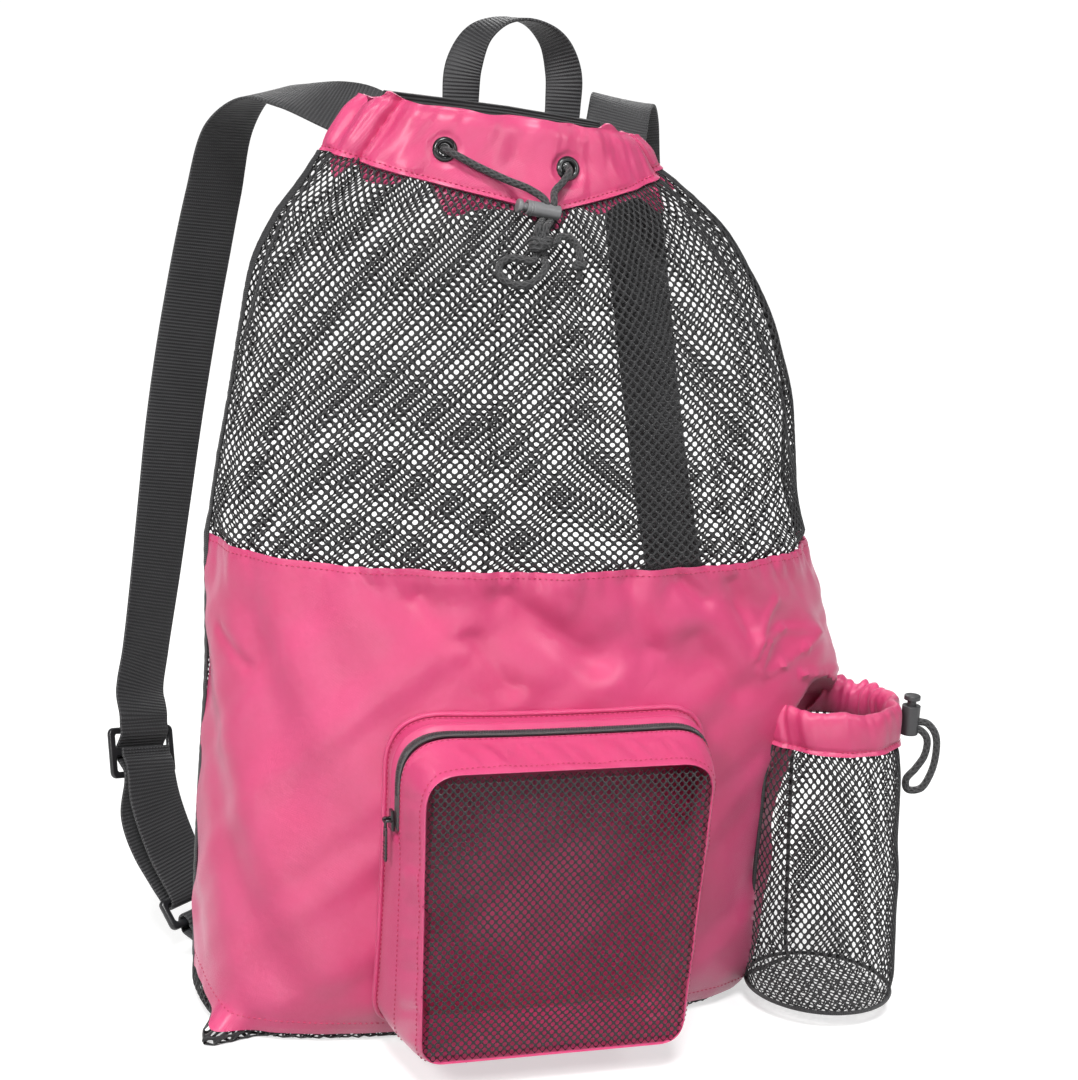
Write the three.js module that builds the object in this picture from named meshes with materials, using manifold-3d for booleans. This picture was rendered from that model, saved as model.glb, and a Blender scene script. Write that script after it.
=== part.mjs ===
// Drawstring swim backpack of nylon and net, in millimetres.
// +Z is up, the front faces -Y, and the origin is on the floor under the middle of the base.
import * as THREE from "three";
import Module from "manifold-3d";
import { mergeVertices } from "three/addons/utils/BufferGeometryUtils.js";

const wasm = await Module();
wasm.setup();

// Driving dimensions
const CLOTH = 1.6;
const GAP = 0.5;
const SEAM_GAP = 0.8;
const SEAM_HEIGHT = 284;
const PINK_HEM_HEIGHT = 6;
const HEM_CORNER = { from: 50, span: 36, rise: 18 };
const COLLAR_BASE_FRONT = 472;
const COLLAR_BASE_RISE = 25;
const COLLAR_TOP = 522;
const COLLAR_TOP_TILT = 7;
const YOKE_HALF_ANGLE = 52;
const YOKE_RISE = 4;
const STRAP = { width: 38, thick: 1.8 };
const HANDLE = { width: 22, thick: 1.8 };
const CORD = { diameter: 4.2, sides: 6 };
const BOTTLE_CORD = { diameter: 4.4, sides: 6 };
const EYELET = { bore: 3.4, barrel: 4.2, hole: 5.2, flange: 7, inner: 6.4, proud: 1.1, rim: 1.3, back: 0.8 };

// Body sections from floor to mouth: reach to each side, reach to front and back of the side seams,
// place of the side seams, and squareness of the ring
const SECTIONS = [
  { z: 0, left: 175, right: 150, front: 64, back: 44, seam: 12, square: 3.4 },
  { z: 10, left: 181, right: 164, front: 76, back: 50, seam: 16, square: 3.2 },
  { z: 30, left: 181, right: 171, front: 88, back: 53, seam: 18, square: 3.0 },
  { z: 80, left: 182, right: 175, front: 100, back: 54, seam: 20, square: 2.7 },
  { z: 150, left: 181, right: 183, front: 106, back: 53, seam: 20, square: 2.5 },
  { z: 205, left: 180, right: 208, front: 107, back: 52, seam: 20, square: 2.4 },
  { z: 245, left: 181, right: 197, front: 106, back: 51, seam: 20, square: 2.3 },
  { z: 284, left: 181, right: 182, front: 105, back: 50, seam: 20, square: 2.25 },
  { z: 320, left: 178, right: 171, front: 101, back: 49, seam: 21, square: 2.2 },
  { z: 360, left: 172, right: 169, front: 93, back: 48, seam: 23, square: 2.2 },
  { z: 400, left: 166, right: 159, front: 80, back: 46, seam: 27, square: 2.2 },
  { z: 432, left: 160, right: 145, front: 66, back: 44, seam: 32, square: 2.2 },
  { z: 461, left: 146, right: 126, front: 52, back: 42, seam: 38, square: 2.2 },
  { z: 482, left: 130, right: 103, front: 43, back: 39, seam: 42, square: 2.2 },
  { z: 500, left: 118, right: 81, front: 40, back: 36, seam: 45, square: 2.2 },
  { z: 530, left: 99, right: 60, front: 38, back: 34, seam: 46, square: 2.2 },
];

// Soft creases of the bag, as lines from one point to another: angle round the body in degrees
// from the front, height, depth of the valley (a ridge is negative) and its half width
const CREASES = [
  { fromAngle: -32, fromZ: 272, toAngle: 22, toZ: 226, depth: 4.5, half: 15 },
  { fromAngle: 20, fromZ: 274, toAngle: 50, toZ: 240, depth: 3, half: 12 },
  { fromAngle: 50, fromZ: 268, toAngle: 72, toZ: 222, depth: 4.5, half: 10 },
  { fromAngle: 68, fromZ: 276, toAngle: 78, toZ: 232, depth: 4, half: 9 },
  { fromAngle: -62, fromZ: 250, toAngle: -48, toZ: 150, depth: 2.5, half: 14 },
  { fromAngle: -45, fromZ: 462, toAngle: -62, toZ: 350, depth: 5, half: 13 },
  { fromAngle: -20, fromZ: 445, toAngle: -12, toZ: 352, depth: 4, half: 14 },
  { fromAngle: 24, fromZ: 445, toAngle: 34, toZ: 350, depth: 5, half: 13 },
  { fromAngle: 52, fromZ: 466, toAngle: 68, toZ: 350, depth: 5, half: 12 },
  { fromAngle: -58, fromZ: 476, toAngle: -52, toZ: 530, depth: 6, half: 9 },
  { fromAngle: 62, fromZ: 480, toAngle: 58, toZ: 530, depth: 5, half: 9 },
  { fromAngle: -58.5, fromZ: -4, toAngle: -58.5, toZ: 0, depth: -26, half: 11 },
];

// Rows of gathers round the body: height where they are deepest, how far they run down and up,
// depth, number of folds in a full turn, and the angles from the front where they begin and end
const GATHERS = [
  { z: 282, down: 26, up: 10, depth: 1.3, folds: 20, phase: 0.4, begin: -30, end: 90 },
  { z: 478, down: 58, up: 14, depth: 2.2, folds: 20, phase: 1.1, begin: 20, end: 105 },
  { z: 508, down: 20, up: 40, depth: 1.6, folds: 17, phase: 2.0, begin: 50, end: 105 },
];
const GATHER_FADE = 20;

// Front pocket: outlines on the panel and at the front, seen from the front
const POCKET_BASE = { left: -99, right: 86, bottom: 18, top: 205, taper: 5, topCorner: 30, bottomCorner: 20 };
const POCKET_FACE = { left: -93, right: 76, bottom: 20, top: 188, taper: 7, topCorner: 22, bottomCorner: 15 };
const POCKET_FACE_Y = -130;
const POCKET_WINDOW_CROWN = 5;
const POCKET_OFF_PANEL = 1.4;
const GUSSET_COLUMNS = 28;
const WINDOW_ROWS = 3;
// Profile of the gusset from the panel to the window: share of the depth and step in from the outline
const GUSSET_PROFILE = [
  { depth: 0.0, inset: 0.0 },
  { depth: 0.35, inset: -1.8 },
  { depth: 0.75, inset: -1.0 },
  { depth: 0.96, inset: 0.4 },
  { depth: 1.0, inset: 1.2 },
  { depth: 1.0, inset: 3.0 },
];
const ZIP = {
  depth: 0.35,
  inset: -1.8,
  width: 6,
  thick: 2.2,
  slotDeep: 7,
  from: 0.105,
  to: 0.7,
  steps: 26,
  sliderBack: 0.012,
};
const SLIDER_BODY = { off: 1.1, long: 11, wide: 8, plate: 2, cheek: 1.1, apart: 3.4, pin: 0.7, pinOut: 4.4, cheekTall: 2.6 };
const PULL = { long: 24, wide: 4.6, thick: 1.4, eye: 1.8, bore: 1.05, neck: 2.4, neckLong: 4.2, corner: 1.2 };

// Bottle pocket: axis at the floor and its lean, and the tube's radius by height
const BOTTLE_AXIS = { x: 194, y: -50, leanX: -0.07, dent: 44, dentTop: 176, dentFade: 34 };
const BOTTLE_TUBE = [
  { z: 9, radius: 41 },
  { z: 13, radius: 45 },
  { z: 24, radius: 47 },
  { z: 100, radius: 46.5 },
  { z: 150, radius: 45.5 },
  { z: 172, radius: 44 },
];
const BOTTLE_COLLAR = { bottom: 173, height: 25, radius: 44.5, flare: 2.5, ruffle: 2, folds: 12, thick: 1.8 };
const BOTTLE_LOCK = { turn: 67.5, z: 186, reach: 49.5, long: 18, radius: 5.5, bore: 3.1, boreDeep: 6, soft: 0.8 };
const BOTTLE_BUTTON = { stem: 2.7, stemLong: 5.4, head: 4.9, headLong: 3, travel: 3 };
const BOTTLE_HOLE = { from: -2.1, to: 8.4, deep: 5.6, strands: [0.8, 5.5] };
// Hanging loop of the bottle cord: distances outwards and up from the lock's middle
const BOTTLE_CORD_RUN = [
  [10.5, -1.6],
  [16, -8],
  [17.5, -20],
  [15.5, -33],
  [10.5, -42.5],
  [3, -43.5],
  [1.5, -37.5],
  [6.5, -30],
  [11, -21],
  [11, -10.5],
];

// Colours and finishes
const FINISH = {
  pink: { color: 0xe8457f, roughness: 0.55, metalness: 0 },
  net: { color: 0x17171a, roughness: 0.8, metalness: 0 },
  webbing: { color: 0x1d1d20, roughness: 0.75, metalness: 0 },
  cord: { color: 0x222226, roughness: 0.8, metalness: 0 },
  plastic: { color: 0x151517, roughness: 0.35, metalness: 0 },
  lock: { color: 0x55565a, roughness: 0.4, metalness: 0 },
  metal: { color: 0x1a1a1c, roughness: 0.25, metalness: 0.9 },
};

const degrees = Math.PI / 180;
const MM_PER_RADIAN = 137;
const X = new THREE.Vector3(1, 0, 0);
const Y = new THREE.Vector3(0, 1, 0);
const Z = new THREE.Vector3(0, 0, 1);
const vec = (x, y, z) => new THREE.Vector3(x, y, z);
const mix = (a, b, t) => a + (b - a) * t;
const smooth = (t) => THREE.MathUtils.smoothstep(t, 0, 1);

const bag = new THREE.Group();

// Adds one named piece to the bag.
function add(name, geometry, finish) {
  const material = new THREE.MeshStandardMaterial(FINISH[finish]);
  const mesh = new THREE.Mesh(geometry, material);
  mesh.name = name;
  bag.add(mesh);
  return mesh;
}

// Reads a column of a table at a height, through a curve that never overshoots its rows.
function column(table, key, z) {
  const last = table.length - 1;
  if (z <= table[0].z) return table[0][key];
  if (z >= table[last].z) return table[last][key];
  const i = table.findIndex((row) => row.z > z) - 1;
  const slope = (k) => (table[k + 1][key] - table[k][key]) / (table[k + 1].z - table[k].z);
  const tangent = (k) => {
    if (k === 0) return slope(0);
    if (k === last) return slope(last - 1);
    const before = slope(k - 1);
    const after = slope(k);
    return before * after <= 0 ? 0 : (2 * before * after) / (before + after);
  };
  const step = table[i + 1].z - table[i].z;
  const t = (z - table[i].z) / step;
  const rise = t * t * (3 - 2 * t);
  const value = mix(table[i][key], table[i + 1][key], rise);
  return value + step * (t * (1 - t) * (1 - t) * tangent(i) - t * t * (1 - t) * tangent(i + 1));
}

// Depth of the creases and gathers at an angle and a height: negative is inwards.
function foldDepth(angle, z) {
  let depth = 0;
  for (const crease of CREASES) {
    const from = new THREE.Vector2(crease.fromAngle * degrees * MM_PER_RADIAN, crease.fromZ);
    const to = new THREE.Vector2(crease.toAngle * degrees * MM_PER_RADIAN, crease.toZ);
    const here = new THREE.Vector2(angle * MM_PER_RADIAN, z);
    const run = to.clone().sub(from);
    const along = THREE.MathUtils.clamp(here.clone().sub(from).dot(run) / run.lengthSq(), 0, 1);
    const away = here.distanceTo(from.clone().addScaledVector(run, along)) / crease.half;
    depth -= crease.depth * Math.exp(-away * away);
  }
  for (const row of GATHERS) {
    const reach = z < row.z ? row.down : row.up;
    const strength = Math.exp(-(((z - row.z) / reach) ** 2));
    const turned = Math.abs(angle) / degrees;
    const begun = smooth((turned - row.begin) / GATHER_FADE);
    const ended = smooth((turned - row.end) / GATHER_FADE);
    const wave = Math.cos(row.folds * angle + row.phase) + 0.5 * Math.cos(row.folds * 0.6 * angle + 2 * row.phase);
    depth += row.depth * strength * begun * (1 - ended) * wave;
  }
  return depth;
}

// Middle of the bottle pocket at a height.
function bottleAxis(z) {
  return vec(BOTTLE_AXIS.x + BOTTLE_AXIS.leanX * z, BOTTLE_AXIS.y, z);
}

// Point of the body's outer face at an angle from the front (right is positive) and a height.
function bodyPoint(angle, z, lift = 0) {
  const [left, right, front, back, seam, square] = ["left", "right", "front", "back", "seam", "square"].map((key) =>
    column(SECTIONS, key, z),
  );
  const across = Math.sin(angle);
  const ahead = Math.cos(angle);
  const side = across < 0 ? left : right;
  const depth = ahead > 0 ? front : back;
  const k = (Math.abs(across) ** square + Math.abs(ahead) ** square) ** (-1 / square);
  const point = vec(side * across * k, seam - depth * ahead * k, z);
  const outX = (Math.sign(across) * Math.abs(across * k) ** (square - 1)) / side;
  const outY = (-Math.sign(ahead) * Math.abs(ahead * k) ** (square - 1)) / depth;
  point.addScaledVector(vec(outX, outY, 0).normalize(), foldDepth(angle, z) + lift);
  return pressByBottle(point, lift);
}

// Moves a point of the body out of the round hollow that the bottle pocket presses into it.
function pressByBottle(point, lift) {
  const fade = 1 - smooth((point.z - BOTTLE_AXIS.dentTop) / BOTTLE_AXIS.dentFade);
  const radius = BOTTLE_AXIS.dent * Math.sqrt(Math.max(fade, 0)) - lift;
  const away = point.clone().sub(bottleAxis(point.z)).setZ(0);
  if (fade <= 0 || away.length() >= radius) return point;
  return bottleAxis(point.z).addScaledVector(away.normalize(), radius);
}

// Depth of the front panel's plain face behind a point seen from the front.
function panelY(x, z) {
  const side = column(SECTIONS, x < 0 ? "left" : "right", z);
  const square = column(SECTIONS, "square", z);
  const share = Math.max(1 - Math.abs(x / side) ** square, 0) ** (1 / square);
  return column(SECTIONS, "seam", z) - column(SECTIONS, "front", z) * share;
}

// Height of the lower hem of the panel and the back net at an angle: it rises at the corners.
function hemHeight(angle) {
  const toSide = 90 - Math.abs(90 - Math.abs(angle) / degrees);
  return PINK_HEM_HEIGHT + HEM_CORNER.rise * smooth((toSide - HEM_CORNER.from) / HEM_CORNER.span);
}

// Height where net meets collar, and of the collar's top edge, at an angle.
function collarBase(angle) {
  return COLLAR_BASE_FRONT + COLLAR_BASE_RISE * Math.sin(Math.min(Math.abs(angle), Math.PI / 2));
}
function collarTop(angle) {
  return COLLAR_TOP - COLLAR_TOP_TILT * Math.sin(angle);
}

// Geometry from a list of triangles, leaving out those that have collapsed to a line.
function fromTriangles(triangles) {
  const flat = [];
  const same = (a, b) => a.distanceToSquared(b) < 1e-8;
  for (const [a, b, c] of triangles) {
    if (same(a, b) || same(b, c) || same(c, a)) continue;
    flat.push(...a, ...b, ...c);
  }
  const geometry = new THREE.BufferGeometry();
  geometry.setAttribute("position", new THREE.Float32BufferAttribute(flat, 3));
  return geometry;
}

// Adds the two triangles of a four-sided face.
function quad(triangles, a, b, c, d) {
  triangles.push([a, b, c], [a, c, d]);
}

// Closed wall of cloth over a surface of u and v. Its outer side faces along du x dv.
function wall(surface, columns, rows, { thick = CLOTH, loop = false } = {}) {
  const tiny = 1e-3;
  const normalAt = (u, v) => {
    const inside = THREE.MathUtils.clamp(v, 2 * tiny, 1 - 2 * tiny);
    const du = surface(u + tiny, inside).sub(surface(u - tiny, inside));
    const dv = surface(u, inside + tiny).sub(surface(u, inside - tiny));
    return du.cross(dv).normalize();
  };
  const outer = [];
  const inner = [];
  for (let i = 0; i <= columns; i++) {
    const u = loop && i === columns ? 0 : i / columns;
    outer.push([]);
    inner.push([]);
    for (let j = 0; j <= rows; j++) {
      const point = surface(u, j / rows);
      outer[i].push(point);
      inner[i].push(point.clone().addScaledVector(normalAt(u, j / rows), -thick));
    }
  }
  const triangles = [];
  for (let i = 0; i < columns; i++) {
    for (let j = 0; j < rows; j++) {
      quad(triangles, outer[i][j], outer[i + 1][j], outer[i + 1][j + 1], outer[i][j + 1]);
      quad(triangles, inner[i][j], inner[i][j + 1], inner[i + 1][j + 1], inner[i + 1][j]);
    }
    quad(triangles, inner[i][0], inner[i + 1][0], outer[i + 1][0], outer[i][0]);
    quad(triangles, outer[i][rows], outer[i + 1][rows], inner[i + 1][rows], inner[i][rows]);
  }
  if (!loop) {
    for (let j = 0; j < rows; j++) {
      quad(triangles, outer[0][j], outer[0][j + 1], inner[0][j + 1], inner[0][j]);
      quad(triangles, outer[columns][j + 1], outer[columns][j], inner[columns][j], inner[columns][j + 1]);
    }
  }
  return fromTriangles(triangles);
}

// Closed solid inside a surface that loops in u, with flat ends.
function lump(surface, columns, rows) {
  const triangles = [];
  const point = (i, j) => surface((i % columns) / columns, j / rows);
  const centre = (j) => {
    const middle = vec(0, 0, 0);
    for (let i = 0; i < columns; i++) middle.addScaledVector(point(i, j), 1 / columns);
    return middle;
  };
  const ends = [centre(0), centre(rows)];
  for (let i = 0; i < columns; i++) {
    for (let j = 0; j < rows; j++) {
      quad(triangles, point(i, j), point(i + 1, j), point(i + 1, j + 1), point(i, j + 1));
    }
    triangles.push([point(i + 1, 0), point(i, 0), ends[0]]);
    triangles.push([point(i, rows), point(i + 1, rows), ends[1]]);
  }
  return fromTriangles(triangles);
}

// Flat webbing along rows that give its middle line and the direction across it.
// Its two faces are split along the same diagonal, so that a twist leaves it equally thick.
function webbing(rows, { width, thick }, steps) {
  const line = new THREE.CatmullRomCurve3(rows.map((row) => row.at));
  const acrossLine = new THREE.CatmullRomCurve3(rows.map((row) => row.across));
  const corners = [];
  for (let i = 0; i <= steps; i++) {
    const t = i / steps;
    const middle = line.getPoint(t);
    const ahead = line.getTangent(t);
    const across = acrossLine.getPoint(t);
    across.addScaledVector(ahead, -across.dot(ahead)).normalize();
    const face = ahead.clone().cross(across);
    const corner = (side, up) =>
      middle.clone().addScaledVector(across, (side * width) / 2).addScaledVector(face, (up * thick) / 2);
    corners.push([corner(-1, -1), corner(1, -1), corner(1, 1), corner(-1, 1)]);
  }
  const triangles = [];
  for (let i = 0; i < steps; i++) {
    for (let k = 0; k < 4; k++) {
      const next = (k + 1) % 4;
      const face = [corners[i][k], corners[i][next], corners[i + 1][next], corners[i + 1][k]];
      if (k === 2) face.push(face.shift());
      quad(triangles, ...face);
    }
  }
  quad(triangles, ...[...corners[0]].reverse());
  quad(triangles, ...corners[steps]);
  return fromTriangles(triangles);
}

// Round cord through points.
function cord(points, { diameter, sides }, steps) {
  const section = new THREE.Shape();
  for (let k = 0; k < sides; k++) {
    const turn = (2 * Math.PI * k) / sides;
    const [x, y] = [(diameter / 2) * Math.cos(turn), (diameter / 2) * Math.sin(turn)];
    if (k === 0) section.moveTo(x, y);
    else section.lineTo(x, y);
  }
  section.closePath();
  const path = new THREE.CatmullRomCurve3(points);
  return new THREE.ExtrudeGeometry(section, { steps, extrudePath: path, bevelEnabled: false, curveSegments: 1 });
}

// Closed lathe round the Y axis through radius and height pairs.
function lathe(profile, segments) {
  return new THREE.LatheGeometry(profile.map(([radius, height]) => new THREE.Vector2(radius, height)), segments);
}

// Solid of a closed geometry, and geometry of a solid.
function solidOf(geometry) {
  const plain = geometry.index ? geometry.toNonIndexed() : geometry.clone();
  plain.deleteAttribute("normal");
  plain.deleteAttribute("uv");
  const merged = mergeVertices(plain, 1e-3);
  const vertProperties = merged.attributes.position.array;
  const triVerts = new Uint32Array(merged.index.array);
  return new wasm.Manifold(new wasm.Mesh({ numProp: 3, vertProperties, triVerts }));
}
function geometryOf(solid) {
  const bodies = solid.decompose();
  const largest = bodies.reduce((a, b) => (a.volume() > b.volume() ? a : b));
  const mesh = largest.getMesh();
  const geometry = new THREE.BufferGeometry();
  geometry.setAttribute("position", new THREE.BufferAttribute(mesh.vertProperties, 3));
  geometry.setIndex(new THREE.BufferAttribute(mesh.triVerts, 1));
  return geometry;
}
function cut(geometry, ...tools) {
  return geometryOf(tools.reduce((solid, tool) => solid.subtract(solidOf(tool)), solidOf(geometry)));
}

// Turns a geometry made along Y so that it points along a direction, and moves it to a point.
function aim(geometry, direction, at) {
  const turn = new THREE.Quaternion().setFromUnitVectors(Y, direction.clone().normalize());
  return geometry.applyQuaternion(turn).translate(at.x, at.y, at.z);
}

// Outward direction of the body at an angle and a height.
function bodyNormal(angle, z) {
  const step = 0.5;
  const du = bodyPoint(angle + step * degrees, z).sub(bodyPoint(angle - step * degrees, z));
  const dv = bodyPoint(angle, z + step).sub(bodyPoint(angle, z - step));
  return du.cross(dv).normalize();
}

// Angle round the front at which the body reaches a given X at a height.
function angleAtX(x, z) {
  let low = -Math.PI / 2;
  let high = Math.PI / 2;
  for (let i = 0; i < 40; i++) {
    const middle = (low + high) / 2;
    if (bodyPoint(middle, z).x < x) low = middle;
    else high = middle;
  }
  return low;
}

// Bag body: front in two heights, back and base
const QUARTER = Math.PI / 2;
const SEAM_EDGE = 0.9 * degrees;
const PANEL_GRID = { columns: 36, rows: 9 };
const FRONT_NET_GRID = { columns: 36, rows: 5 };
const BACK_NET_GRID = { columns: 16, rows: 7 };
const BASE_GRID = { columns: 40, rows: 4, floorShare: 0.5 };
const frontAngle = (u) => mix(-QUARTER + SEAM_EDGE, QUARTER - SEAM_EDGE, u);
const backAngle = (u) => mix(QUARTER + SEAM_EDGE, 3 * QUARTER - SEAM_EDGE, u);
const wrapped = (angle) => (angle > Math.PI ? angle - 2 * Math.PI : angle);
const seamHeight = () => SEAM_HEIGHT;

// Part of the body's face between two angles and two heights, with half a seam gap above and below.
function patch(angleOf, low, high, lift = 0) {
  return (u, v) => {
    const angle = wrapped(angleOf(u));
    return bodyPoint(angle, mix(low(angle) + SEAM_GAP / 2, high(angle) - SEAM_GAP / 2, v), lift);
  };
}

function makeBody() {
  const panel = patch(frontAngle, hemHeight, seamHeight);
  add("front_panel", wall(panel, PANEL_GRID.columns, PANEL_GRID.rows), "pink");
  const frontNet = patch(frontAngle, seamHeight, collarBase);
  add("front_mesh", wall(frontNet, FRONT_NET_GRID.columns, FRONT_NET_GRID.rows), "net");
  const backNet = patch(backAngle, hemHeight, collarBase);
  add("back_mesh", wall(backNet, BACK_NET_GRID.columns, BACK_NET_GRID.rows), "net");
  add("base_mesh", makeBase(), "net");
}

// Base: a flat floor that turns up into the corners under the hems.
function makeBase() {
  const { columns, rows, floorShare } = BASE_GRID;
  const hemClear = 2.5;
  const centre = vec(0, column(SECTIONS, "seam", 0), 0);
  const surface = (u, v) => {
    const angle = wrapped(2 * Math.PI * (u + 0.5 / columns) - Math.PI);
    const edge = bodyPoint(angle, 0);
    if (v < floorShare) return centre.clone().lerp(edge, v / floorShare);
    return bodyPoint(angle, mix(0, hemHeight(angle) - hemClear, (v - floorShare) / (1 - floorShare)));
  };
  return wall(surface, columns, rows, { loop: true });
}

// Collar round the front and sides of the mouth, with the yoke tape closing it at the back
const YOKE_EDGE = Math.PI - YOKE_HALF_ANGLE * degrees;
const COLLAR_GRID = { columns: 40, rows: 3 };
const YOKE_GRID = { columns: 12, rows: 2 };
const EYELETS = [
  { name: "collar_eyelet_left", cord: "drawcord_left", x: -59, z: 503 },
  { name: "collar_eyelet_right", cord: "drawcord_right", x: 12, z: 496 },
];

function makeCollar() {
  const edge = 0.5 * degrees;
  const band = (from, to, rise) => (u, v) => {
    const angle = mix(from + edge, to - edge, u);
    return bodyPoint(wrapped(angle), mix(collarBase(wrapped(angle)) + SEAM_GAP / 2, collarTop(angle) + rise, v));
  };
  const holes = [];
  for (const eyelet of EYELETS) {
    const { at, out } = eyeletFrame(eyelet);
    holes.push(aim(new THREE.CylinderGeometry(EYELET.hole, EYELET.hole, 12, 12), out, at));
    add(eyelet.name, aim(lathe(eyeletProfile(), 10), out, at), "metal");
  }
  const { columns, rows } = COLLAR_GRID;
  add("collar", cut(wall(band(-YOKE_EDGE, YOKE_EDGE, 0), columns, rows), ...holes), "pink");
  const yoke = wall(band(YOKE_EDGE, 2 * Math.PI - YOKE_EDGE, YOKE_RISE), YOKE_GRID.columns, YOKE_GRID.rows);
  add("back_yoke", yoke, "webbing");
}

// Middle of an eyelet on the collar's face and the direction it looks.
function eyeletFrame({ x, z }) {
  const angle = angleAtX(x, z);
  return { at: bodyPoint(angle, z), out: bodyNormal(angle, z) };
}

// Section of an eyelet: a barrel through the cloth with a rolled flange in front and a flat one behind.
function eyeletProfile() {
  const { bore, barrel, flange, inner, proud, rim, back } = EYELET;
  const behind = -CLOTH - proud;
  const profile = [
    [bore, behind - back],
    [inner, behind - back],
    [inner, behind],
    [barrel, behind],
    [barrel, proud],
    [flange, proud],
    [flange, proud + 0.5],
    [(flange + bore) / 2, proud + rim],
    [bore, proud + 0.6],
  ];
  return [...profile, profile[0]];
}

// Point straight in front of the body at an X and a height, a given distance off its face.
function offFront(x, z, off) {
  const angle = angleAtX(x, z);
  const point = bodyPoint(angle, z);
  point.y += off / bodyNormal(angle, z).y;
  return point;
}

// Drawcord: places across the front, heights and distances off the face
const LOCK = { x: -8, z: 474, off: 9, long: 20, radius: 4.2, bore: 2.7, boreDeep: 7.5, soft: 0.8, tilt: 8 };
const BUTTON = { stem: 2.3, stemLong: 7.4, head: 3.9, headLong: 2.6, travel: 2.5 };
const LOCK_HOLE = { from: -1.9, to: 8.6, deep: 5.4, strands: [0.9, 5.6] };
const KNOT = { x: -12, z: 457, off: 9, radius: 6, tall: 9 };
const END_KNOT = { x: 10, z: 446, off: 6, radius: 3.8, tall: 6 };
const DRAWCORD_RUNS = [
  [
    { x: -54, z: 500.5, off: 6 },
    { x: -42, z: 495, off: 6.5 },
    { x: -27, z: 489, off: 7 },
    { x: -14, z: 484.5, off: 8.5 },
  ],
  [
    { x: 10.5, z: 494, off: 6.5 },
    { x: 6, z: 489, off: 7.5 },
    { x: 0.5, z: 484, off: 8.5 },
  ],
];
const LOOP_RUN = [
  { x: -19, z: 447.5, off: 8.5 },
  { x: -25, z: 448.5, off: 7.5 },
  { x: -31.5, z: 448, off: 6.5 },
  { x: -36.5, z: 444, off: 6 },
  { x: -36, z: 438.5, off: 6 },
  { x: -30, z: 435, off: 6 },
  { x: -22, z: 435.5, off: 6.5 },
  { x: -15.5, z: 439, off: 7 },
  { x: -11, z: 444.5, off: 8 },
];
const TAIL_RUN = [
  { x: 0, z: 460.5, off: 9 },
  { x: 6, z: 460, off: 8.5 },
  { x: 9.8, z: 456, off: 7.5 },
];
const KNOT_PROFILE = [
  [0, -0.5],
  [0.7, -0.5],
  [1, -0.2],
  [1, 0.2],
  [0.7, 0.5],
  [0, 0.5],
];

function makeKnot(name, knot, at) {
  const scaled = KNOT_PROFILE.map(([radius, height]) => [radius * knot.radius, height * knot.tall]);
  add(name, aim(lathe(scaled, 10), Z, at), "cord");
}

function makeDrawcord() {
  const lockAt = offFront(LOCK.x, LOCK.z, LOCK.off);
  const knotAt = offFront(KNOT.x, KNOT.z, KNOT.off);
  const endAt = offFront(END_KNOT.x, END_KNOT.z, END_KNOT.off);
  const axis = vec(Math.cos(LOCK.tilt * degrees), 0, -Math.sin(LOCK.tilt * degrees));
  const through = vec(-axis.z, 0, axis.x);
  const spot = (row) => offFront(row.x, row.z, row.off);
  const pair = CORD.diameter / 2 + GAP / 2;
  const knotTop = knotAt.z + KNOT.tall / 2 + GAP;
  const knotLow = knotAt.z - KNOT.tall / 2 - GAP;
  EYELETS.forEach((eyelet, k) => {
    const { at, out } = eyeletFrame(eyelet);
    const strand = lockAt.clone().addScaledVector(axis, LOCK_HOLE.strands[k]);
    const aside = k === 0 ? -pair : pair;
    const points = [
      at.clone().addScaledVector(out, -6),
      at.clone().addScaledVector(out, 1.5),
      ...DRAWCORD_RUNS[k].map(spot),
      strand.clone().addScaledVector(through, 4.5),
      strand.clone().addScaledVector(through, -4.5),
      vec(knotAt.x + aside, knotAt.y, knotTop + 3),
      vec(knotAt.x + aside, knotAt.y, knotTop),
    ];
    add(eyelet.cord, cord(points, CORD, 16), "cord");
  });
  makeLock("cord_lock", lockAt, axis, through, LOCK, BUTTON, LOCK_HOLE);
  makeKnot("drawcord_knot", KNOT, knotAt);
  const hang = (aside) => [vec(knotAt.x + aside, knotAt.y, knotLow), vec(knotAt.x + aside, knotAt.y, knotLow - 3)];
  const loop = [...hang(-pair), ...LOOP_RUN.map(spot), ...hang(pair).reverse()];
  add("drawcord_loop", cord(loop, CORD, 16), "cord");
  const side = knotAt.x + KNOT.radius + GAP;
  const tail = [
    vec(side, knotAt.y, knotAt.z),
    vec(side + 2, knotAt.y, knotAt.z + 0.5),
    ...TAIL_RUN.map(spot),
    vec(endAt.x, endAt.y, endAt.z + END_KNOT.tall / 2 + SEAM_GAP + GAP),
  ];
  add("drawcord_tail", cord(tail, CORD, 10), "cord");
  makeKnot("drawcord_end_knot", END_KNOT, endAt);
}

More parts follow.
